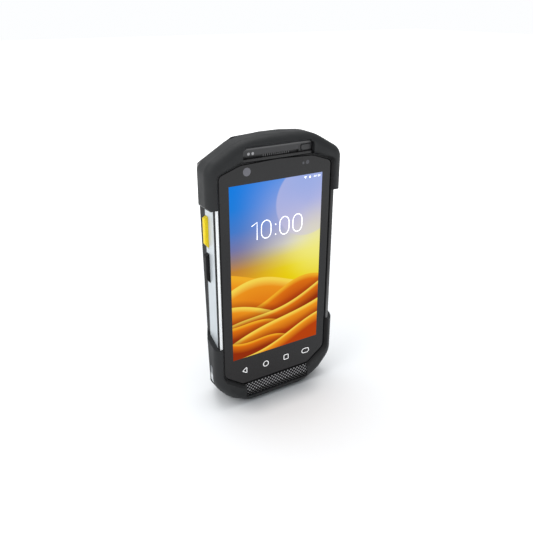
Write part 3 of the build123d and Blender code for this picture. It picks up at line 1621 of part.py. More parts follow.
def board_screws():
    screws = []
    for x, z in board_screw_spots():
        screw = rod_y(x, z, BOARD_HEAD_R, BOARD_BACK_Y, BOARD_BACK_Y + BOARD_HEAD_T)
        screw += rod_y(x, z, BOARD_SCREW_R - RUNNING, WEB_BACK_Y + FIT, BOARD_BACK_Y)
        screws.append(screw)
    return group(screws)


def shield_cans():
    cans = []
    for x, drop, width, height in SHIELD_DROPS:
        z = BOARD_TOP - drop
        can = block(
            x - width / 2,
            x + width / 2,
            BOARD_BACK_Y,
            BOARD_BACK_Y + SHIELD_T,
            z - height / 2,
            z + height / 2,
        )
        cans.append(can)
    return group(cans)


def backup_cell():
    return rod_y(CELL_X, CELL_Z, CELL_R, BOARD_BACK_Y, BOARD_BACK_Y + CELL_T)


def vibration_motor():
    y = WEB_BACK_Y + MOTOR_R
    half = MOTOR_L / 2
    motor = rod_x(y, MOTOR_Z, MOTOR_R, MOTOR_X - half, MOTOR_X + half)
    return motor + block(MOTOR_X - half, MOTOR_X, WEB_BACK_Y, y, MOTOR_Z - MOTOR_R, MOTOR_Z + MOTOR_R)


def antenna():
    half_h = ANTENNA_H / 2
    plate = block(
        ANTENNA_X,
        ANTENNA_X + ANTENNA_W,
        CAVITY_Y - ANTENNA_T,
        CAVITY_Y,
        ANTENNA_Z - half_h,
        ANTENNA_Z + half_h,
    )
    return plate & slab(grown(CORE_OUTLINE, -RAIL_WALL - FIT), SPLIT_Y, HOUSE_Y)


def housing_screws():
    screws = []
    seat = HOUSE_Y - CASE_HEAD_DEPTH - CASE_HEAD_T
    for x, z in case_screw_spots():
        screw = rod_y(x, z, CASE_HEAD_R, seat, seat + CASE_HEAD_T)
        screw -= rod_y(x, z, CASE_SCREW_R, seat + CASE_HEAD_T / 2, seat + CASE_HEAD_T + THROUGH)
        screw += rod_y(x, z, CASE_SCREW_R - RUNNING, SPLIT_Y - CASE_SCREW_BITE + FIT, seat)
        screws.append(screw)
    return group(screws)


# ------------------------------------------------------------------ output
NODES = {
    "display_glass": display_glass,
    "display_panel": display_panel,
    "display_gasket": display_gasket,
    "display_flex": display_flex,
    "front_camera_lens": front_camera_lens,
    "front_camera_module": front_camera_module,
    "sensor_windows": sensor_windows,
    "front_frame": front_frame,
    "rear_housing": rear_housing,
    "top_bumper": top_bumper,
    "bottom_bumper": bottom_bumper,
    "earpiece_trim": earpiece_trim,
    "receiver_grille": receiver_grille,
    "receiver": receiver,
    "status_light_pipes": status_light_pipes,
    "power_button": power_button,
    "power_switch": power_switch,
    "scan_button_left": scan_button_left,
    "scan_button_right": scan_button_right,
    "talk_button": talk_button,
    "volume_rocker": volume_rocker,
    "rocker_pin": rocker_pin,
    "key_boards": key_boards,
    "speaker_grille": speaker_grille,
    "speaker_module": speaker_module,
    "side_contacts": side_contacts,
    "scan_window": scan_window,
    "scan_engine": scan_engine,
    "scan_bracket": scan_bracket,
    "rear_camera_window": rear_camera_window,
    "rear_camera_module": rear_camera_module,
    "flash_window": flash_window,
    "battery_case": battery_case,
    "battery_cover": battery_cover,
    "battery_cell": battery_cell,
    "battery_board": battery_board,
    "battery_contacts": battery_contacts,
    "battery_latch_left": battery_latch_left,
    "battery_latch_right": battery_latch_right,
    "card_door": card_door,
    "card_door_pin": card_door_pin,
    "card_socket": card_socket,
    "memory_card": memory_card,
    "strap_bars": strap_bars,
    "io_connector": io_connector,
    "io_contacts": io_contacts,
    "main_board": main_board,
    "board_screws": board_screws,
    "shield_cans": shield_cans,
    "backup_cell": backup_cell,
    "vibration_motor": vibration_motor,
    "antenna": antenna,
    "housing_screws": housing_screws,
}

os.makedirs("parts", exist_ok=True)
for node, make in NODES.items():
    export_step(make(), f"parts/{node}.step")
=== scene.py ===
"""Visual model of a handheld barcode data terminal.

Gives every CAD node its material, and adds the lit picture on the display, the printed signs and
the studded speaker strip.
"""
import math
from collections import namedtuple

import bmesh
import bpy
from mathutils import Matrix, Vector


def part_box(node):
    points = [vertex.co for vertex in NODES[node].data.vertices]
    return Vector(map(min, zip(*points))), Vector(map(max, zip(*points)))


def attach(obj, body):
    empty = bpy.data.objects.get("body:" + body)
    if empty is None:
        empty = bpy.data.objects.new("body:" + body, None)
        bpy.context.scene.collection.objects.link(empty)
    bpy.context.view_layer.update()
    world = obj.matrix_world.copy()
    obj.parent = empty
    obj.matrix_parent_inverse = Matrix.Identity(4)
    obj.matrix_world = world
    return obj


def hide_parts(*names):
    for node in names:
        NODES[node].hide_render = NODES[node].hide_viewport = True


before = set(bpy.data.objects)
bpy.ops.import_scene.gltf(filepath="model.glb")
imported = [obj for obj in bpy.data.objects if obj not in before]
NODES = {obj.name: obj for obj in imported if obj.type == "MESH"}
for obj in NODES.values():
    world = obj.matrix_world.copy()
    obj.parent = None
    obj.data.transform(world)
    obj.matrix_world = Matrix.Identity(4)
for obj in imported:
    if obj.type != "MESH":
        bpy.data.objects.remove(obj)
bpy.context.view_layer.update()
MM = 0.001
DEVICE = "device"
Edges = namedtuple("Edges", "left front low right back top")


def edges(box):
    """A box, given as its two corners, as six named edges."""
    near, far = box
    return Edges(*near, *far)


# ------------------------------------------------------------------ camera
LENS = 39.87
SENSOR = 36.0
CLIP = (0.005, 20.0)
CAMERA_AT = (-0.16251, -0.26935, 0.22082)
AZIMUTH = math.radians(-31.14)
ELEVATION = math.radians(24.09)


def make_camera():
    data = bpy.data.cameras.new("camera")
    data.lens = LENS
    data.sensor_width = SENSOR
    data.sensor_height = SENSOR
    data.sensor_fit = "HORIZONTAL"
    data.clip_start, data.clip_end = CLIP
    camera = bpy.data.objects.new("camera", data)
    bpy.context.scene.collection.objects.link(camera)
    turn = Matrix.Rotation(AZIMUTH, 4, "Z") @ Matrix.Rotation(math.pi / 2 - ELEVATION, 4, "X")
    camera.matrix_world = Matrix.Translation(CAMERA_AT) @ turn
    bpy.context.scene.camera = camera


# ------------------------------------------------------------------ node helpers
NOISE_SPAN = (0.3, 0.7)


class Graph:
    """A material's node tree, with short ways to add and join nodes."""

    def __init__(self, name):
        self.material = bpy.data.materials.new(name)
        self.material.use_nodes = True
        self.tree = self.material.node_tree
        self.shader = self.tree.nodes["Principled BSDF"]
        self.place = self.tree.nodes.new("ShaderNodeTexCoord").outputs["Object"]

    def set(self, socket, value):
        """Gives a socket a value, or joins another node's output to it."""
        if isinstance(value, bpy.types.NodeSocket):
            self.tree.links.new(value, socket)
        elif isinstance(value, tuple) and len(value) == 3 and socket.type == "RGBA":
            socket.default_value = (*value, 1.0)
        else:
            socket.default_value = value

    def shade(self, **sockets):
        """Sets the surface shader's sockets, named with underscores for spaces."""
        for name, value in sockets.items():
            self.set(self.shader.inputs[name.replace("_", " ")], value)

    def node(self, kind, *values, out=0, **settings):
        made = self.tree.nodes.new("ShaderNode" + kind)
        for key, value in settings.items():
            setattr(made, key, value)
        for index, value in enumerate(values):
            if value is not None:
                self.set(made.inputs[index], value)
        return made.outputs[out]

    def axes(self):
        made = self.tree.nodes.new("ShaderNodeSeparateXYZ")
        self.tree.links.new(self.place, made.inputs[0])
        return made.outputs[0], made.outputs[1], made.outputs[2]

    def math(self, operation, *values):
        return self.node("Math", *values, operation=operation)

    def span(self, across, along):
        """Length of a flat vector."""
        squares = [self.math("MULTIPLY", part, part) for part in (across, along)]
        return self.math("SQRT", self.math("ADD", *squares))

    def ramp(self, value, low, high, start=0.0, end=1.0, smooth=False):
        kind = "SMOOTHSTEP" if smooth else "LINEAR"
        return self.node("MapRange", value, low, high, start, end, interpolation_type=kind)

    def colour_ramp(self, value, stops):
        """Colours along a value; each stop is (place, colour)."""
        made = self.tree.nodes.new("ShaderNodeValToRGB")
        points = made.color_ramp.elements
        for point, (place, colour) in ((points[0], stops[0]), (points[1], stops[-1])):
            point.position = place
            point.color = (*colour, 1.0)
        for place, colour in stops[1:-1]:
            points.new(place).color = (*colour, 1.0)
        self.set(made.inputs[0], value)
        return made.outputs[0]

    def mix(self, share, first, second, blend="MIX"):
        made = self.tree.nodes.new("ShaderNodeMix")
        made.data_type = "RGBA"
        made.blend_type = blend
        self.set(made.inputs[0], share)
        self.set(made.inputs[6], first)
        self.set(made.inputs[7], second)
        return made.outputs[2]

    def noise(self, scale, detail=2.0, place=None):
        return self.node("TexNoise", place or self.place, None, scale, detail)

    def mottle(self, scale, detail=2.0, start=0.0, end=1.0):
        """Noise stretched over the whole range between two values."""
        return self.ramp(self.noise(scale, detail), *NOISE_SPAN, start, end)

    def streaks(self, stretch, scale):
        """Fine noise drawn out along the axes whose stretch is small."""
        drawn = self.node("Mapping", self.place, (0, 0, 0), (0, 0, 0), stretch)
        return self.noise(scale, 3.0, drawn)

    def bump(self, height, strength, distance):
        made = self.tree.nodes.new("ShaderNodeBump")
        made.inputs["Strength"].default_value = strength
        made.inputs["Distance"].default_value = distance
        self.tree.links.new(height, made.inputs["Height"])
        return made.outputs[0]


# ------------------------------------------------------------------ studio
WALL_TINT = (0.98, 0.99, 1.0)
# The wall's light falls to WALL_DIM between these two leanings of a direction to the right.
WALL_FALL = (-0.3, 0.9)
WALL_DIM = 0.42
LIGHT_AIM = (0.0, 0.0, 0.08)
SIDE_LIGHT_AT = (-0.9, -0.25, 0.75)
SIDE_LIGHT_SIZE = (0.6, 0.8)
SIDE_LIGHT_WATTS = 3.0
TOP_LIGHT_AT = (0.05, 0.15, 1.1)
TOP_LIGHT_SIZE = (0.9, 0.9)
TOP_LIGHT_WATTS = 6.0

FLOOR_REACH = 4.0
# Distances from the middle between which the floor goes from its near tones to its far ones.
FLOOR_FADE = (0.12, 0.55)
# Half width and half depth of the object's footprint, and how far the painted contact shadow spreads
# round it.
FOOT = (0.014, 0.010)
FOOT_PAINTED_SHADOW_REACH = 0.021
# Painted contact shadow: the floor's tone right beside the footprint.
FLOOR_PAINTED_SHADOW = (0.40, 0.42, 0.44)
FLOOR_NEAR = (0.85, 0.863, 0.876)
FLOOR_FAR = (0.93, 0.93, 0.93)
FLOOR_GLOW = (0.35, 0.35, 0.35)


def make_light(name, place, size, watts):
    data = bpy.data.lights.new(name, "AREA")
    data.shape = "RECTANGLE"
    data.size, data.size_y = size
    data.energy = watts
    light = bpy.data.objects.new(name, data)
    bpy.context.scene.collection.objects.link(light)
    way = Vector(LIGHT_AIM) - Vector(place)
    light.matrix_world = Matrix.Translation(place) @ way.to_track_quat("-Z", "Y").to_matrix().to_4x4()


def make_wall():
    """White surroundings that light the right side less than the left, but look white everywhere."""
    world = bpy.data.worlds.new("studio")
    bpy.context.scene.world = world
    world.use_nodes = True
    tree = world.node_tree
    way = tree.nodes.new("ShaderNodeTexCoord")
    parts = tree.nodes.new("ShaderNodeSeparateXYZ")
    fall = tree.nodes.new("ShaderNodeMapRange")
    fall.interpolation_type = "SMOOTHSTEP"
    for socket, value in zip(fall.inputs[1:5], (*WALL_FALL, 1.0, WALL_DIM)):
        socket.default_value = value
    seen = tree.nodes.new("ShaderNodeLightPath")
    wall = tree.nodes.new("ShaderNodeMath")
    wall.operation = "MAXIMUM"
    background = tree.nodes["Background"]
    background.inputs["Color"].default_value = (*WALL_TINT, 1.0)
    tree.links.new(way.outputs["Generated"], parts.inputs[0])
    tree.links.new(parts.outputs[0], fall.inputs[0])
    tree.links.new(fall.outputs[0], wall.inputs[0])
    tree.links.new(seen.outputs["Is Camera Ray"], wall.inputs[1])
    tree.links.new(wall.outputs[0], background.inputs["Strength"])


def beside_foot(g):
    """Distance on the floor outside the object's footprint."""
    x, y, _ = g.axes()
    gaps = []
    for side, half in ((x, FOOT[0]), (y, FOOT[1])):
        gaps.append(g.math("MAXIMUM", g.math("SUBTRACT", g.math("ABSOLUTE", side), half), 0.0))
    return g.span(*gaps)


def floor_white():
    """White sweep: a little darker close to the object, so that its soft shadow shows, with a painted
    contact shadow round its footprint.
    """
    g = Graph("floor_white")
    far = g.ramp(g.node("VectorMath", g.place, out=1, operation="LENGTH"), *FLOOR_FADE, smooth=True)
    # Painted contact shadow, fading out from the footprint to the near floor tone.
    near = g.mix(g.ramp(beside_foot(g), 0.0, FOOT_PAINTED_SHADOW_REACH, smooth=True), FLOOR_PAINTED_SHADOW, FLOOR_NEAR)
    g.shade(Base_Color=g.mix(far, near, FLOOR_FAR), Roughness=0.9, Specular_IOR_Level=0.0)
    g.shade(Emission_Color=g.mix(far, (0.0, 0.0, 0.0), FLOOR_GLOW), Emission_Strength=1.0)
    return g.material


def make_floor():
    mesh = bpy.data.meshes.new("floor")
    shape = bmesh.new()
    bmesh.ops.create_grid(shape, x_segments=1, y_segments=1, size=FLOOR_REACH)
    shape.to_mesh(mesh)
    shape.free()
    floor = bpy.data.objects.new("floor", mesh)
    bpy.context.scene.collection.objects.link(floor)
    floor.data.materials.append(floor_white())


def make_studio():
    bpy.context.scene.view_settings.view_transform = "Standard"
    make_wall()
    make_light("side_light", SIDE_LIGHT_AT, SIDE_LIGHT_SIZE, SIDE_LIGHT_WATTS)
    make_light("top_light", TOP_LIGHT_AT, TOP_LIGHT_SIZE, TOP_LIGHT_WATTS)
    make_floor()


# ------------------------------------------------------------------ plain materials
GRAIN_DEPTH = 0.06 * MM


def tinted(colour, factor):
    return tuple(min(1.0, part * factor) for part in colour)


def finish(name, colour, rough, metal=0.0, specular=0.5, coat=0.0, tone=0.06, patch=60.0,
           grain=0.0, grain_size=3500.0, spread=0.06):
    """A moulded, painted or plated surface: slow changes of tone and gloss over a fine grain."""
    g = Graph(name)
    g.shade(Base_Color=g.mix(g.mottle(patch, 3.0), tinted(colour, 1 - tone), tinted(colour, 1 + tone)))
    g.shade(Roughness=g.mottle(patch * 3, 4.0, rough - spread, rough + spread))
    g.shade(Metallic=metal, Specular_IOR_Level=specular, Coat_Weight=coat)
    if grain:
        g.shade(Normal=g.bump(g.noise(grain_size), grain, GRAIN_DEPTH))
    return g.material


def lit_ink(name, strength):
    """White sign that gives off a little light of its own."""
    material = finish(name, (0.88, 0.88, 0.89), 0.5, tone=0.02)
    shader = material.node_tree.nodes["Principled BSDF"]
    shader.inputs["Emission Color"].default_value = (1.0, 1.0, 1.0, 1.0)
    shader.inputs["Emission Strength"].default_value = strength
    return material


def brushed(name, colour, rough=0.3):
    """Bare metal with fine streaks along the object's width."""
    g = Graph(name)
    fine = g.streaks((0.05, 1.0, 1.0), 3000.0)
    g.shade(Base_Color=g.mix(g.ramp(fine, *NOISE_SPAN), tinted(colour, 0.9), tinted(colour, 1.08)))
    g.shade(Roughness=g.ramp(fine, 0.2, 0.8, rough - 0.06, rough + 0.08), Metallic=1.0)
    g.shade(Normal=g.bump(fine, 0.1, 0.03 * MM))
    return g.material


BOARD_GREEN = (0.010, 0.11, 0.045)
BOARD_PALE = (0.016, 0.15, 0.06)
BOARD_TRACK = (0.09, 0.20, 0.07)
BOARD_SCALE = 400.0


def circuit_green():
    """Circuit board lacquer with a pattern of tracks."""
    g = Graph("board_green")
    tracks = g.node("TexBrick", g.place, BOARD_GREEN, BOARD_PALE, BOARD_TRACK, BOARD_SCALE)
    g.shade(Base_Color=tracks, Roughness=0.4)
    return g.material


# ------------------------------------------------------------------ bumpers
GLASS = edges(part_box("display_glass"))
# The cut corners of the glass: run along its width and rise along its height in mm, then up or down.
GLASS_CORNERS = [(12.4, 5.2, 1), (11.9, 8.4, -1)]
# Painted shade in the groove round the glass: narrow at the lower left, and widening towards the top
# and the right.
GROOVE_SHADE_CORE = 0.6 * MM
GROOVE_SHADE_NARROW = 1.3 * MM
GROOVE_SHADE_WIDE = 2.4 * MM
GROOVE_SHADE_RISE = (50.0 * MM, 90.0 * MM)
GROOVE_SHADE_TURN = (5.0 * MM, 30.0 * MM)
GROOVE_PAINTED_SHADE = (0.003, 0.003, 0.003)
RUBBER_DARK = (0.014, 0.015, 0.016)
RUBBER_PALE = (0.020, 0.021, 0.022)


def beyond_glass(g):
    """Distance outside the glass outline, its cut corners included."""
    x, _, z = g.axes()
    side = g.math("ABSOLUTE", x)
    reach = g.math("SUBTRACT", side, GLASS.right)
    for run, rise, up in GLASS_CORNERS:
        way = Vector((rise, run * up)).normalized()
        end = GLASS.top if up > 0 else GLASS.low
        limit = way.x * GLASS.right + way.y * (end - up * rise * MM)
        slant = g.math("MULTIPLY_ADD", side, way.x, g.math("MULTIPLY_ADD", z, way.y, -limit))
        reach = g.math("MAXIMUM", reach, slant)
        reach = g.math("MAXIMUM", reach, g.math("MULTIPLY_ADD", z, up, -up * end))
    return reach


def bumper_rubber():
    """Charcoal soft-touch moulding with a fine grain, and painted shade down in its groove round the
    glass.
    """
    g = Graph("bumper_charcoal")
    rubber = g.mix(g.mottle(45.0, 3.0), RUBBER_DARK, RUBBER_PALE)
    x, _, z = g.axes()
    widening = g.math("MAXIMUM", g.ramp(z, *GROOVE_SHADE_RISE), g.ramp(x, *GROOVE_SHADE_TURN))
    width = g.math("MULTIPLY_ADD", widening, GROOVE_SHADE_WIDE - GROOVE_SHADE_NARROW, GROOVE_SHADE_NARROW)
    # Painted shade: near black close to the glass edge, fading to the rubber's own tone across the
    # groove.
    outside = g.ramp(beyond_glass(g), GROOVE_SHADE_CORE, width, smooth=True)
    g.shade(Base_Color=g.mix(outside, GROOVE_PAINTED_SHADE, rubber), Specular_IOR_Level=0.22)
    g.shade(Roughness=g.mottle(160.0, 5.0, 0.44, 0.54))
    grain = g.node("TexVoronoi", g.place, None, 2600.0, feature="SMOOTH_F1")
    g.shade(Normal=g.bump(grain, 0.22, 0.05 * MM))
    return g.material


# ------------------------------------------------------------------ side rails
FRAME = edges(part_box("front_frame"))
SEAM_Y = FRAME.front + 1.7 * MM
RAIL_BACK_Y = FRAME.back - 1.0 * MM
BEAD_OUT_X = 37.5 * MM
BEAD_IN_X = 35.95 * MM
RAIL_DARK = (0.50, 0.54, 0.565)
RAIL_PALE = (0.58, 0.62, 0.645)
# The left bead's bright silver: partly its own polish, partly a painted highlight.
BEAD_SILVER_HIGHLIGHT = (0.86, 0.88, 0.89)
# Painted shade on the right bead, lighter low down: it darkens from its low tone to its high one
# between two heights.
RIGHT_BEAD_SHADE_LOW = 0.16
RIGHT_BEAD_SHADE_HIGH = 0.05
RIGHT_BEAD_SHADE_FADE = (40.0 * MM, 75.0 * MM)
TRAY_BLACK = (0.010, 0.010, 0.011)


def silver_frame():
    """Silver rails round a black tray.

    Their front bead is silver with a painted highlight at the left and painted shade at the right, with
    a dark seam beside it.
    """
    g = Graph("rail_silver")
    x, y, z = g.axes()
    side = g.math("ABSOLUTE", x)
    beyond_tray = g.math("GREATER_THAN", side, BEAD_IN_X)
    ahead = g.math("LESS_THAN", y, SEAM_Y)
    seam = g.math("MULTIPLY", g.math("GREATER_THAN", side, BEAD_OUT_X), ahead)
    before_back = g.math("LESS_THAN", y, RAIL_BACK_Y)
    rail = g.math("MULTIPLY", g.math("SUBTRACT", beyond_tray, seam), before_back)
    fine = g.streaks((1.0, 1.0, 0.02), 2200.0)
    face = g.mix(g.ramp(fine, *NOISE_SPAN), RAIL_DARK, RAIL_PALE)
    # Painted shade on the right bead; the left bead keeps its silver with a painted highlight.
    right_bead_shade = g.ramp(z, *RIGHT_BEAD_SHADE_FADE, RIGHT_BEAD_SHADE_LOW, RIGHT_BEAD_SHADE_HIGH)
    bead = g.mix(g.math("GREATER_THAN", x, 0.0), BEAD_SILVER_HIGHLIGHT, right_bead_shade)
    silver = g.mix(1.0, g.mix(ahead, face, bead), g.mottle(40.0, 2.0, 0.96, 1.04), "MULTIPLY")
    g.shade(Base_Color=g.mix(rail, TRAY_BLACK, silver), Specular_IOR_Level=0.25)
    g.shade(Metallic=g.math("MULTIPLY", rail, 0.35), Roughness=g.ramp(fine, 0.2, 0.8, 0.36, 0.46))
    g.shade(Normal=g.bump(fine, 0.06, 0.04 * MM))
    return g.material


SIDE_CONTACT = edges(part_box("side_contacts"))
SIDE_CONTACT_MIDDLE = (SIDE_CONTACT.low + SIDE_CONTACT.top) / 2
UPPER_DARK_FADE = 2.0 * MM
CONTACT_BRIGHT = (0.55, 0.57, 0.58)
CONTACT_UPPER_DARK = (0.18, 0.19, 0.20)


def side_contact_plate():
    """Satin charging strip, its upper half darker than the lower."""
    g = Graph("side_contact_plate")
    _, _, z = g.axes()
    # The strip's upper half is darker than its lower half, fading in over a short height.
    upper_dark = g.ramp(z, SIDE_CONTACT_MIDDLE, SIDE_CONTACT_MIDDLE + UPPER_DARK_FADE, smooth=True)
    plate_tone = g.mix(upper_dark, CONTACT_BRIGHT, CONTACT_UPPER_DARK)
    g.shade(Base_Color=g.mix(1.0, plate_tone, g.mottle(700.0, 2.0, 0.9, 1.1), "MULTIPLY"))
    g.shade(Metallic=0.2, Roughness=0.45)
    return g.material


# ------------------------------------------------------------------ earpiece
TRIM = edges(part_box("earpiece_trim"))
RIM_HIGHLIGHT_FADE = (1.1 * MM, 0.4 * MM)
LIP_FADE = (1.6 * MM, 2.4 * MM)
TRIM_RIM_HIGHLIGHT = (0.105, 0.105, 0.107)
TRIM_FACE = (0.038, 0.038, 0.040)
TRIM_LIP = (0.016, 0.016, 0.017)


def earpiece_plastic():
    """Charcoal trim with a painted highlight along its upper rim, and darker on its lower lip."""
    g = Graph("earpiece_plastic")
    _, _, z = g.axes()
    # Painted highlight along the trim's upper rim.
    rim = g.ramp(z, TRIM.top - RIM_HIGHLIGHT_FADE[0], TRIM.top - RIM_HIGHLIGHT_FADE[1], smooth=True)
    above_lip = g.ramp(z, TRIM.low + LIP_FADE[0], TRIM.low + LIP_FADE[1])
    face = g.mix(above_lip, TRIM_LIP, TRIM_FACE)
    g.shade(Base_Color=g.mix(rim, face, TRIM_RIM_HIGHLIGHT), Specular_IOR_Level=0.35)
    g.shade(Roughness=g.mottle(180.0, 4.0, 0.30, 0.40))
    g.shade(Normal=g.bump(g.noise(3000.0), 0.08, GRAIN_DEPTH))
    return g.material


COMB_FRONT_Y = edges(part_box("receiver_grille")).front
COMB_SHADE_FADE = 0.3 * MM
COMB_PAINTED_SHADE = (0.001, 0.001, 0.001)
COMB_HIGHLIGHT_DIM = (0.16, 0.16, 0.165)
COMB_HIGHLIGHT_BRIGHT = (0.24, 0.24, 0.245)


def receiver_comb():
    """Charcoal comb with painted highlights on its rib fronts and painted shade on the backing between
    them.
    """
    g = Graph("receiver_comb")
    _, y, _ = g.axes()
    # Painted shade on the backing behind the rib fronts, painted highlight on the fronts themselves.
    behind = g.ramp(y, COMB_FRONT_Y, COMB_FRONT_Y + COMB_SHADE_FADE)
    g.shade(Base_Color=g.mix(behind, g.mix(g.noise(500.0), COMB_HIGHLIGHT_DIM, COMB_HIGHLIGHT_BRIGHT), COMB_PAINTED_SHADE))
    g.shade(Roughness=0.5, Specular_IOR_Level=0.2)
    return g.material


# ------------------------------------------------------------------ picture on the display
PANEL = edges(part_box("display_panel"))
PICTURE_SIDE = 1.7 * MM
PICTURE_END = 3.0 * MM
PICTURE_X = PANEL.right - PICTURE_SIDE
PICTURE_LOW = PANEL.low + PICTURE_END
PICTURE_HIGH = PANEL.top - PICTURE_END
PICTURE_SHAPE = (PICTURE_HIGH - PICTURE_LOW) / (2 * PICTURE_X)
PICTURE_PROUD = 0.012 * MM
PICTURE_SINK = 0.01 * MM
PICTURE_Y = GLASS.front - PICTURE_PROUD
PICTURE_BACK_Y = GLASS.front + PICTURE_SINK

# Sky colours by height, as a share of the screen: at its left edge, and from SKY_TURN of its width on.
SKY_LEFT = [
    (0.0, (0.60, 0.20, 0.010)),
    (0.46, (0.72, 0.29, 0.006)),
    (0.54, (0.53, 0.23, 0.03)),
    (0.60, (0.30, 0.20, 0.18)),
    (0.66, (0.17, 0.18, 0.38)),
    (0.76, (0.055, 0.19, 0.58)),
    (0.88, (0.012, 0.20, 0.70)),
    (1.0, (0.006, 0.20, 0.75)),
]
SKY_RIGHT = [
    (0.0, (0.80, 0.42, 0.01)),
    (0.43, (0.82, 0.66, 0.002)),
    (0.50, (0.83, 0.71, 0.012)),
    (0.57, (0.83, 0.74, 0.15)),
    (0.64, (0.72, 0.70, 0.62)),
    (0.74, (0.52, 0.50, 0.68)),
    (0.87, (0.36, 0.42, 0.76)),
    (1.0, (0.17, 0.33, 0.78)),
]
SKY_TURN = 0.85

# A round light in the sky: across and radius are shares of the screen's width, up of its height.
Spot = namedtuple("Spot", "across up radius")
SUN = Spot(0.84, 0.86, 0.36)
SUN_TINT = (0.60, 0.56, 0.76)
SUN_EDGE = 0.015
SUN_RIM_SHARE = 0.5
SUN_CORE_SHARE = 0.1
GLOW = Spot(1.02, 0.60, 0.50)
GLOW_TINT = (0.88, 0.84, 0.22)
GLOW_SHARE = 0.8

CREST = (0.90, 0.66, 0.08)
PALE_CREST = (0.86, 0.42, 0.02)
AMBER = (0.82, 0.28, 0.010)
ORANGE = (0.70, 0.155, 0.004)
EMBER = (0.46, 0.05, 0.002)
RUST = (0.28, 0.025, 0.002)
# Dunes from far to near, in shares of the screen: the crest line's height, its swell, its waves from
# side to side, their phase and its tilt; then how far down the slope shades, and its three colours.
Dune = namedtuple("Dune", "height swell waves phase tilt depth crest middle foot")
DUNES = [
    Dune(0.50, 0.030, 3.6, 2.2, -0.10, 0.24, PALE_CREST, AMBER, ORANGE),
    Dune(0.41, 0.055, 4.4, 0.5, 0.03, 0.20, CREST, AMBER, ORANGE),
    Dune(0.33, 0.050, 4.9, 3.9, 0.05, 0.12, PALE_CREST, ORANGE, EMBER),
    Dune(0.32, 0.020, 5.6, 0.9, -0.14, 0.12, CREST, AMBER, EMBER),
    Dune(0.20, 0.030, 4.3, 2.0, 0.16, 0.09, CREST, ORANGE, RUST),
    Dune(0.23, 0.028, 6.1, 5.4, -0.13, 0.08, PALE_CREST, ORANGE, RUST),
    Dune(0.08, 0.030, 3.4, 1.2, 0.20, 0.10, CREST, AMBER, EMBER),
    Dune(0.13, 0.024, 7.2, 4.2, -0.12, 0.06, PALE_CREST, ORANGE, RUST),
    Dune(-0.01, 0.022, 5.0, 2.9, 0.15, 0.07, CREST, AMBER, EMBER),
]
# Shares of a slope: where its crest colour ends, and where its middle colour lies.
CREST_END = 0.06
MIDDLE_AT = 0.28
DUNE_EDGE = 0.0015
# The dunes from this one on darken the view behind their crests.
SHADOWED_FROM = 3
SHADOW_REACH = 0.04
SHADOW_DEPTH = 0.55


def from_spot(g, across, up, spot):
    """Distance from the middle of a spot, in screen widths."""
    aside = g.math("SUBTRACT", across, spot.across)
    above = g.math("MULTIPLY", g.math("SUBTRACT", up, spot.up), PICTURE_SHAPE)
    return g.span(aside, above)


def add_sun(g, sky, across, up):
    """Adds a wide pale disc high in the sky, over a yellow glow at the right."""
    from_glow = from_spot(g, across, up, GLOW)
    glow = g.ramp(from_glow, GLOW.radius, 0.0, 0.0, GLOW_SHARE, smooth=True)
    sky = g.mix(glow, sky, GLOW_TINT)
    from_sun = from_spot(g, across, up, SUN)
    edge = g.ramp(from_sun, SUN.radius, SUN.radius - SUN_EDGE)
    fade = g.ramp(from_sun, SUN.radius, 0.0, SUN_RIM_SHARE, SUN_CORE_SHARE)
    return g.mix(g.math("MULTIPLY", edge, fade), sky, SUN_TINT)


def add_dune(g, view, across, up, dune, shadowed):
    """Lays one dune over the view: a waving crest line, shaded from its crest down to its foot."""
    wave = g.math("SINE", g.math("MULTIPLY_ADD", across, dune.waves, dune.phase))
    level = g.math("MULTIPLY_ADD", across, dune.tilt, dune.height)
    line = g.math("MULTIPLY_ADD", wave, dune.swell, level)
    below = g.math("SUBTRACT", line, up)
    if shadowed:
        view = g.mix(g.ramp(below, -SHADOW_REACH, 0.0, 0.0, SHADOW_DEPTH), view, RUST)
    stops = [(0.0, dune.crest), (CREST_END, dune.crest), (MIDDLE_AT, dune.middle), (1.0, dune.foot)]
    slope = g.colour_ramp(g.ramp(below, 0.0, dune.depth), stops)
    return g.mix(g.ramp(below, -DUNE_EDGE, DUNE_EDGE), view, slope)


def display_picture():
    """Evening sky over rolling dunes, worked out from the place on the screen."""
    g = Graph("display_picture")
    x, _, z = g.axes()
    across = g.ramp(x, -PICTURE_X, PICTURE_X)
    up = g.ramp(z, PICTURE_LOW, PICTURE_HIGH)
    turn = g.ramp(across, 0.0, SKY_TURN, smooth=True)
    view = g.mix(turn, g.colour_ramp(up, SKY_LEFT), g.colour_ramp(up, SKY_RIGHT))
    view = add_sun(g, view, across, up)
    for order, dune in enumerate(DUNES):
        view = add_dune(g, view, across, up, dune, order >= SHADOWED_FROM)
    g.shade(Base_Color=(0.002, 0.002, 0.002), Roughness=0.2, Specular_IOR_Level=0.01)
    g.shade(Emission_Color=view, Emission_Strength=1.0)
    return g.material


# ------------------------------------------------------------------ piece helpers
def add_piece(name, mesh, material):
    """Makes a mesh a named piece of the device."""
    piece = bpy.data.objects.new(name, mesh)
    bpy.context.scene.collection.objects.link(piece)
    mesh.materials.clear()
    mesh.materials.append(material)
    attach(piece, DEVICE)
    return piece


def sort_parts(parts, place):
    """Puts a bmesh's vertices or faces in order of their places."""
    for index, part in enumerate(sorted(parts, key=place)):
        part.index = index
    parts.sort()


def solid_mesh(name, shape):
    """Turns a finished bmesh into a mesh whose faces look outward, in the same order each run."""
    mesh = bpy.data.meshes.new(name)
    bmesh.ops.recalc_face_normals(shape, faces=shape.faces)
    sort_parts(shape.verts, lambda vert: tuple(vert.co))
    sort_parts(shape.faces, lambda face: tuple(face.calc_center_bounds()))
    shape.to_mesh(mesh)
    shape.free()
    return mesh


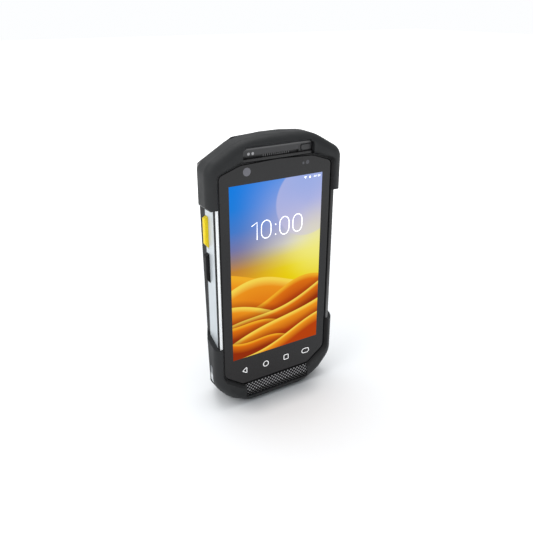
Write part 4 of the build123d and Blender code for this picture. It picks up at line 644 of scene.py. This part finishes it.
def picture_plate():
    """Thin plate over the lit part of the display."""
    shape = bmesh.new()
    bmesh.ops.create_cube(shape, size=1.0)
    size = (2 * PICTURE_X, PICTURE_BACK_Y - PICTURE_Y, PICTURE_HIGH - PICTURE_LOW)
    middle = (0.0, (PICTURE_Y + PICTURE_BACK_Y) / 2, (PICTURE_LOW + PICTURE_HIGH) / 2)
    place = Matrix.Translation(middle) @ Matrix.Diagonal((*size, 1.0))
    bmesh.ops.transform(shape, matrix=place, verts=shape.verts)
    mesh = solid_mesh("display_picture", shape)
    add_piece("display_picture", mesh, display_picture())


INK_T = 0.03 * MM
INK_SINK = 0.004 * MM


def ink_lines(name, lines, width, front_y, material):
    """Printed strokes on a flat face: each line is (points, closed) in mm, as x and z."""
    curve = bpy.data.curves.new(name, "CURVE")
    curve.dimensions = "3D"
    curve.bevel_depth = width * MM / 2
    curve.bevel_resolution = 2
    curve.use_fill_caps = True
    for points, closed in lines:
        spline = curve.splines.new("POLY")
        spline.points.add(len(points) - 1)
        for point, (x, z) in zip(spline.points, points):
            point.co = (x * MM, 0.0, z * MM, 1.0)
        spline.use_cyclic_u = closed
    maker = bpy.data.objects.new(name + "_maker", curve)
    mesh = bpy.data.meshes.new_from_object(maker)
    bpy.data.objects.remove(maker)
    flatten = Matrix.Diagonal((1, 2 * INK_T / (width * MM), 1, 1))
    mesh.transform(Matrix.Translation((0, front_y + INK_SINK, 0)) @ flatten)
    add_piece(name, mesh, material)


def arc(x, z, rx, rz, start, end, steps):
    """Points along part of an ellipse, from one angle to another in degrees."""
    turns = [math.radians(start + (end - start) * i / steps) for i in range(steps + 1)]
    return [(x + rx * math.cos(t), z + rz * math.sin(t)) for t in turns]


CORNER_STEPS = 6


def rounded_box(x, z, rx, rz, corner):
    points = []
    for right, up, start in ((1, -1, -90), (1, 1, 0), (-1, 1, 90), (-1, -1, 180)):
        corner_x = x + right * (rx - corner)
        corner_z = z + up * (rz - corner)
        points += arc(corner_x, corner_z, corner, corner, start, start + 90, CORNER_STEPS)
    return points


OVAL_STEPS = 10


def oval(x, z, rx, rz):
    """Closed small ellipse; the stroke's own closing side ends it."""
    return arc(x, z, rx, rz, 0, 360 - 360 / OVAL_STEPS, OVAL_STEPS - 1), True


# ------------------------------------------------------------------ signs on the glass, in mm
ICON_LINE = 0.52
ICON_Z = 22.3
ICON_R = 1.75
BACK_X = -21.5
BACK_TIP_IN = 0.6
BACK_REACH = 0.45 * ICON_R
BACK_RISE = 0.75 * ICON_R
BACK_CORNER = 0.35
BACK_SLANT = 119
HOME_X = -7.2
HOME_STEPS = 24
RECENT_X = 7.2
RECENT_HALF = 0.9 * ICON_R
RECENT_CORNER = 0.5
OPTION_X = 21.5
OPTION_HALF_W = 2.6
OPTION_HALF_H = 1.5


def back_icon():
    """Triangle pointing left, with rounded corners."""
    corners = (
        (BACK_X - ICON_R + BACK_TIP_IN, ICON_Z, BACK_SLANT, 360 - BACK_SLANT),
        (BACK_X + BACK_REACH, ICON_Z - BACK_RISE, 360 - BACK_SLANT, 360),
        (BACK_X + BACK_REACH, ICON_Z + BACK_RISE, 0, BACK_SLANT),
    )
    points = []
    for x, z, start, end in corners:
        points += arc(x, z, BACK_CORNER, BACK_CORNER, start, end, CORNER_STEPS)
    return points


def key_icons(ink):
    """The four printed key marks: back, home, recent and option."""
    home = arc(HOME_X, ICON_Z, ICON_R, ICON_R, 0, 360 - 360 / HOME_STEPS, HOME_STEPS - 1)
    recent = rounded_box(RECENT_X, ICON_Z, RECENT_HALF, RECENT_HALF, RECENT_CORNER)
    option = rounded_box(OPTION_X, ICON_Z, OPTION_HALF_W, OPTION_HALF_H, OPTION_HALF_H)
    lines = [(points, True) for points in (back_icon(), home, recent, option)]
    ink_lines("key_icons", lines, ICON_LINE, GLASS.front, ink)


CLOCK_LINE = 0.52
CLOCK_LOW = 103.1 + CLOCK_LINE / 2
CLOCK_HIGH = 113.9 - CLOCK_LINE / 2
ONE = [(-16.2, CLOCK_HIGH - 2.0), (-12.75, CLOCK_HIGH - 0.2), (-12.75, CLOCK_LOW)]
ZERO_XS = (-7.0, 4.75, 13.4)
ZERO_W = 6.6
ZERO_END = 3.6
ZERO_STEPS = 20
COLON_X = -1.0
COLON_ZS = (110.2, 104.4)
COLON_R = 0.18


def clock_digits(ink):
    """Plain clock digits: a one, a zero, a colon and two zeros."""
    lines = [(ONE, False)]
    rx = (ZERO_W - CLOCK_LINE) / 2
    for x in ZERO_XS:
        upper = arc(x, CLOCK_HIGH - ZERO_END, rx, ZERO_END, 0, 180, ZERO_STEPS)
        lower = arc(x, CLOCK_LOW + ZERO_END, rx, ZERO_END, 180, 360, ZERO_STEPS)
        lines.append((upper + lower, True))
    lines += [oval(COLON_X, z, COLON_R, COLON_R) for z in COLON_ZS]
    ink_lines("clock_digits", lines, CLOCK_LINE, PICTURE_Y, ink)


SIGN_LINE = 0.34
SIGN_Z = 133.7
# Points of the fan, and the battery's three bars as (across, top), about each sign's middle.
FAN_X = 18.0
FAN_RIM = [(-0.8, 0.5), (0.0, -0.5), (0.8, 0.5)]
FAN_CORE = [(-0.5, 0.35), (0.0, -0.2), (0.5, 0.35)]
CELL_X = 21.05
CELL_LOW = -0.6
CELL_TOPS = [(-0.25, 0.5), (0.0, 0.6), (0.25, 0.5)]
DIGIT_LINE = 0.2
DIGIT_XS = (24.0, 25.0, 26.6, 27.6)
DIGIT_RX = 0.28
DIGIT_RZ = 0.48


def status_signs(ink):
    """Small signal fan and battery, and four digits beside them."""
    lines = []
    for points in (FAN_RIM, FAN_CORE):
        lines.append(([(FAN_X + x, SIGN_Z + z) for x, z in points], True))
    for x, top in CELL_TOPS:
        lines.append(([(CELL_X + x, SIGN_Z + CELL_LOW), (CELL_X + x, SIGN_Z + top)], False))
    ink_lines("status_signs", lines, SIGN_LINE, PICTURE_Y, ink)
    digits = [oval(x, SIGN_Z, DIGIT_RX, DIGIT_RZ) for x in DIGIT_XS]
    ink_lines("status_digits", digits, DIGIT_LINE, PICTURE_Y, ink)


# ------------------------------------------------------------------ speaker strip
# Each stud is a low pyramid on its corner: width and height are its diagonals.
STUD_W = 2.3 * MM
STUD_H = 2.0 * MM
STUD_RISE = 0.5 * MM
STUD_CELLS = 40
STRIP = edges(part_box("speaker_grille"))
STRIP_HALF = (STRIP.right - STRIP.left) / 2
STRIP_TOP_T = 0.2 * MM
STRIP_BULGE_UP = 3.2 * MM
STRIP_TUCK = 0.5 * MM
# Edges of the strip, as (y, z): its top, the bulge that leans forward, and its tucked-in foot.
STRIP_TOP = (STRIP.back - STRIP_TOP_T, STRIP.top)
STRIP_BULGE = (STRIP.front + STUD_RISE, STRIP.low + STRIP_BULGE_UP)
STRIP_LOW = (STRIP_BULGE[0] + STRIP_TUCK, STRIP.low)
STUD_FADE = (0.34, 0.62)
STUD_VALLEY_BLACK_AND_SHADE = (0.001, 0.001, 0.001)
STUD_TIP_HIGHLIGHT_DIM = (0.26, 0.26, 0.27)
STUD_TIP_HIGHLIGHT_BRIGHT = (0.38, 0.38, 0.39)
TUCK_SHADE_FADE = (STRIP_BULGE[1] - 1.0 * MM, STRIP_BULGE[1] + 0.6 * MM)
TUCK_SHADE_DIM = 0.25


def stud_plastic():
    """Charcoal strip with painted highlights on its stud tips, black valleys with painted shade, and
    painted shade below the bulge.
    """
    g = Graph("stud_plastic")
    _, _, z = g.axes()
    tall = g.node("Attribute", attribute_name="stud", out=2)
    # Painted highlight on the stud tips, painted shade below the bulge and in the valleys.
    tip = g.mix(g.noise(900.0), STUD_TIP_HIGHLIGHT_DIM, STUD_TIP_HIGHLIGHT_BRIGHT)
    lit_tips_and_tuck_shade = g.mix(1.0, tip, g.ramp(z, *TUCK_SHADE_FADE, TUCK_SHADE_DIM, 1.0), "MULTIPLY")
    g.shade(Base_Color=g.mix(g.ramp(tall, *STUD_FADE), STUD_VALLEY_BLACK_AND_SHADE, lit_tips_and_tuck_shade))
    g.shade(Roughness=0.7, Specular_IOR_Level=0.06)
    return g.material


def strip_plane(upper, lower):
    """Place and turn of a flat sheet between two (y, z) edges, its own y up the slope."""
    lean = math.atan2(upper[0] - lower[0], upper[1] - lower[1])
    middle = (0.0, (upper[0] + lower[0]) / 2, (upper[1] + lower[1]) / 2)
    return Matrix.Translation(middle) @ Matrix.Rotation(math.pi / 2 - lean, 4, "X")


def stud_field():
    """Flat grid of four-sided studs standing on their corners, as a bmesh."""
    sheet = bmesh.new()
    bmesh.ops.create_grid(sheet, x_segments=STUD_CELLS, y_segments=STUD_CELLS, size=1.0)
    for vert in bmesh.ops.poke(sheet, faces=sheet.faces[:])["verts"]:
        vert.co.z = 1.0
    diagonal = 2.0 / STUD_CELLS * math.sqrt(2)
    scale = Matrix.Diagonal((STUD_W / diagonal, STUD_H / diagonal, STUD_RISE, 1.0))
    bmesh.ops.transform(sheet, matrix=scale @ Matrix.Rotation(math.pi / 4, 4, "Z"), verts=sheet.verts)
    return sheet


def clip_sheet(sheet, half_x, half_y):
    """Cuts away what lies outside a rectangle about the middle."""
    ways = ((1, 0, 0), (-1, 0, 0), (0, 1, 0), (0, -1, 0))
    for way, reach in zip(ways, (half_x, half_x, half_y, half_y)):
        every = sheet.verts[:] + sheet.edges[:] + sheet.faces[:]
        edge_at = Vector(way) * reach
        bmesh.ops.bisect_plane(sheet, geom=every, plane_co=edge_at, plane_no=way, clear_outer=True)


def stud_sheet(shape, upper, lower):
    """Adds a closed slab of studs between two edges of the strip, its flat back at the strip's back."""
    sheet = stud_field()
    clip_sheet(sheet, STRIP_HALF, math.hypot(upper[0] - lower[0], upper[1] - lower[1]) / 2)
    tall = sheet.verts.layers.float.new("stud")
    for vert in sheet.verts:
        vert[tall] = vert.co.z / STUD_RISE
    bmesh.ops.transform(sheet, matrix=strip_plane(upper, lower), verts=sheet.verts)
    rim = [edge for edge in sheet.edges if edge.is_boundary]
    grown = bmesh.ops.extrude_edge_only(sheet, edges=rim)["geom"]
    for vert in [item for item in grown if isinstance(item, bmesh.types.BMVert)]:
        vert.co.y = STRIP.back
        vert[tall] = 0.0
    back_rim = [item for item in grown if isinstance(item, bmesh.types.BMEdge)]
    bmesh.ops.contextual_create(sheet, geom=back_rim)
    mesh = bpy.data.meshes.new("stud_sheet")
    sheet.to_mesh(mesh)
    sheet.free()
    shape.from_mesh(mesh)
    bpy.data.meshes.remove(mesh)


def speaker_strip():
    """Cross-hatched strip under the glass, leaning forward to its bulge and tucked back below it."""
    shape = bmesh.new()
    stud_sheet(shape, STRIP_TOP, STRIP_BULGE)
    stud_sheet(shape, STRIP_BULGE, STRIP_LOW)
    piece = add_piece("speaker_strip", solid_mesh("speaker_strip", shape), stud_plastic())
    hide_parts("speaker_grille")


# ------------------------------------------------------------------ build
def dress(looks):
    """Gives every CAD node its material, and stops if a node is left without one."""
    for material, names in looks.items():
        for name in names:
            mesh = NODES[name].data
            mesh.materials.clear()
            mesh.materials.append(material)
    undressed = set(NODES) - {name for names in looks.values() for name in names}
    assert not undressed, undressed


make_camera()
make_studio()

HOUSING_BLACK = finish("housing_black", (0.009, 0.009, 0.010), 0.5, specular=0.16, grain=0.12,
                       grain_size=2600.0)
BATTERY_BLACK = finish("battery_black", (0.016, 0.017, 0.018), 0.42, specular=0.3, grain=0.2,
                       grain_size=1800.0)
KEY_BLACK = finish("key_black", (0.005, 0.005, 0.006), 0.46, specular=0.16, grain=0.1)
TRIM_BLACK = finish("trim_charcoal", (0.034, 0.034, 0.036), 0.34, specular=0.35, grain=0.08)
DEEP_BLACK = finish("inner_black", (0.006, 0.006, 0.007), 0.5, specular=0.2)
YELLOW = finish("key_yellow", (0.74, 0.56, 0.006), 0.4, specular=0.25, grain=0.08, tone=0.04)
STEEL = brushed("plain_steel", (0.58, 0.59, 0.61))
DARK_STEEL = brushed("dark_steel", (0.09, 0.09, 0.10), 0.36)
CONTACT = brushed("contact_plate", (0.78, 0.80, 0.82), 0.24)
GOLD = brushed("gold_plate", (0.90, 0.62, 0.22), 0.22)
GREEN = circuit_green()
KEY_INK = lit_ink("white_ink", 0.25)
SCREEN_INK = lit_ink("lit_ink", 0.9)
COVER_GLASS = finish("cover_glass", (0.006, 0.006, 0.007), 0.12, specular=0.36, tone=0.02, spread=0.01)
LENS_GREY = finish("lens_grey", (0.14, 0.14, 0.16), 0.2, specular=0.3)
SENSOR_GREY = finish("sensor_grey", (0.07, 0.07, 0.08), 0.2, specular=0.3)
DARK_LENS = finish("lens_dark", (0.01, 0.01, 0.012), 0.08, coat=1.0)
RED_GLASS = finish("scan_glass", (0.05, 0.003, 0.004), 0.06, coat=1.0)
PALE_LENS = finish("flash_lens", (0.72, 0.70, 0.58), 0.25)
LIGHT_PIPE = finish("light_pipe", (0.38, 0.38, 0.39), 0.3)
FLEX = finish("flex_film", (0.42, 0.20, 0.05), 0.4)
FOIL = finish("cell_foil", (0.55, 0.56, 0.58), 0.35, metal=0.8)

dress({
    bumper_rubber(): ["top_bumper", "bottom_bumper"],
    silver_frame(): ["front_frame"],
    side_contact_plate(): ["side_contacts"],
    earpiece_plastic(): ["earpiece_trim"],
    receiver_comb(): ["receiver_grille"],
    HOUSING_BLACK: ["rear_housing"],
    BATTERY_BLACK: ["battery_case", "battery_cover"],
    KEY_BLACK: ["talk_button", "volume_rocker", "battery_latch_left", "battery_latch_right"],
    YELLOW: ["scan_button_left", "scan_button_right"],
    TRIM_BLACK: ["power_button", "speaker_grille"],
    DEEP_BLACK: ["display_gasket", "front_camera_module", "receiver", "speaker_module", "scan_engine",
                 "rear_camera_module", "card_door", "memory_card", "io_connector", "display_panel"],
    STEEL: ["power_switch", "rocker_pin", "scan_bracket", "card_door_pin", "card_socket", "strap_bars",
            "board_screws", "shield_cans", "backup_cell", "vibration_motor"],
    DARK_STEEL: ["housing_screws"],
    CONTACT: ["battery_contacts"],
    GOLD: ["io_contacts"],
    GREEN: ["key_boards", "main_board", "battery_board"],
    COVER_GLASS: ["display_glass"],
    LENS_GREY: ["front_camera_lens"],
    SENSOR_GREY: ["sensor_windows"],
    DARK_LENS: ["rear_camera_window"],
    RED_GLASS: ["scan_window"],
    PALE_LENS: ["flash_window"],
    LIGHT_PIPE: ["status_light_pipes"],
    FLEX: ["display_flex", "antenna"],
    FOIL: ["battery_cell"],
})

picture_plate()
key_icons(KEY_INK)
clock_digits(SCREEN_INK)
status_signs(SCREEN_INK)
speaker_strip()
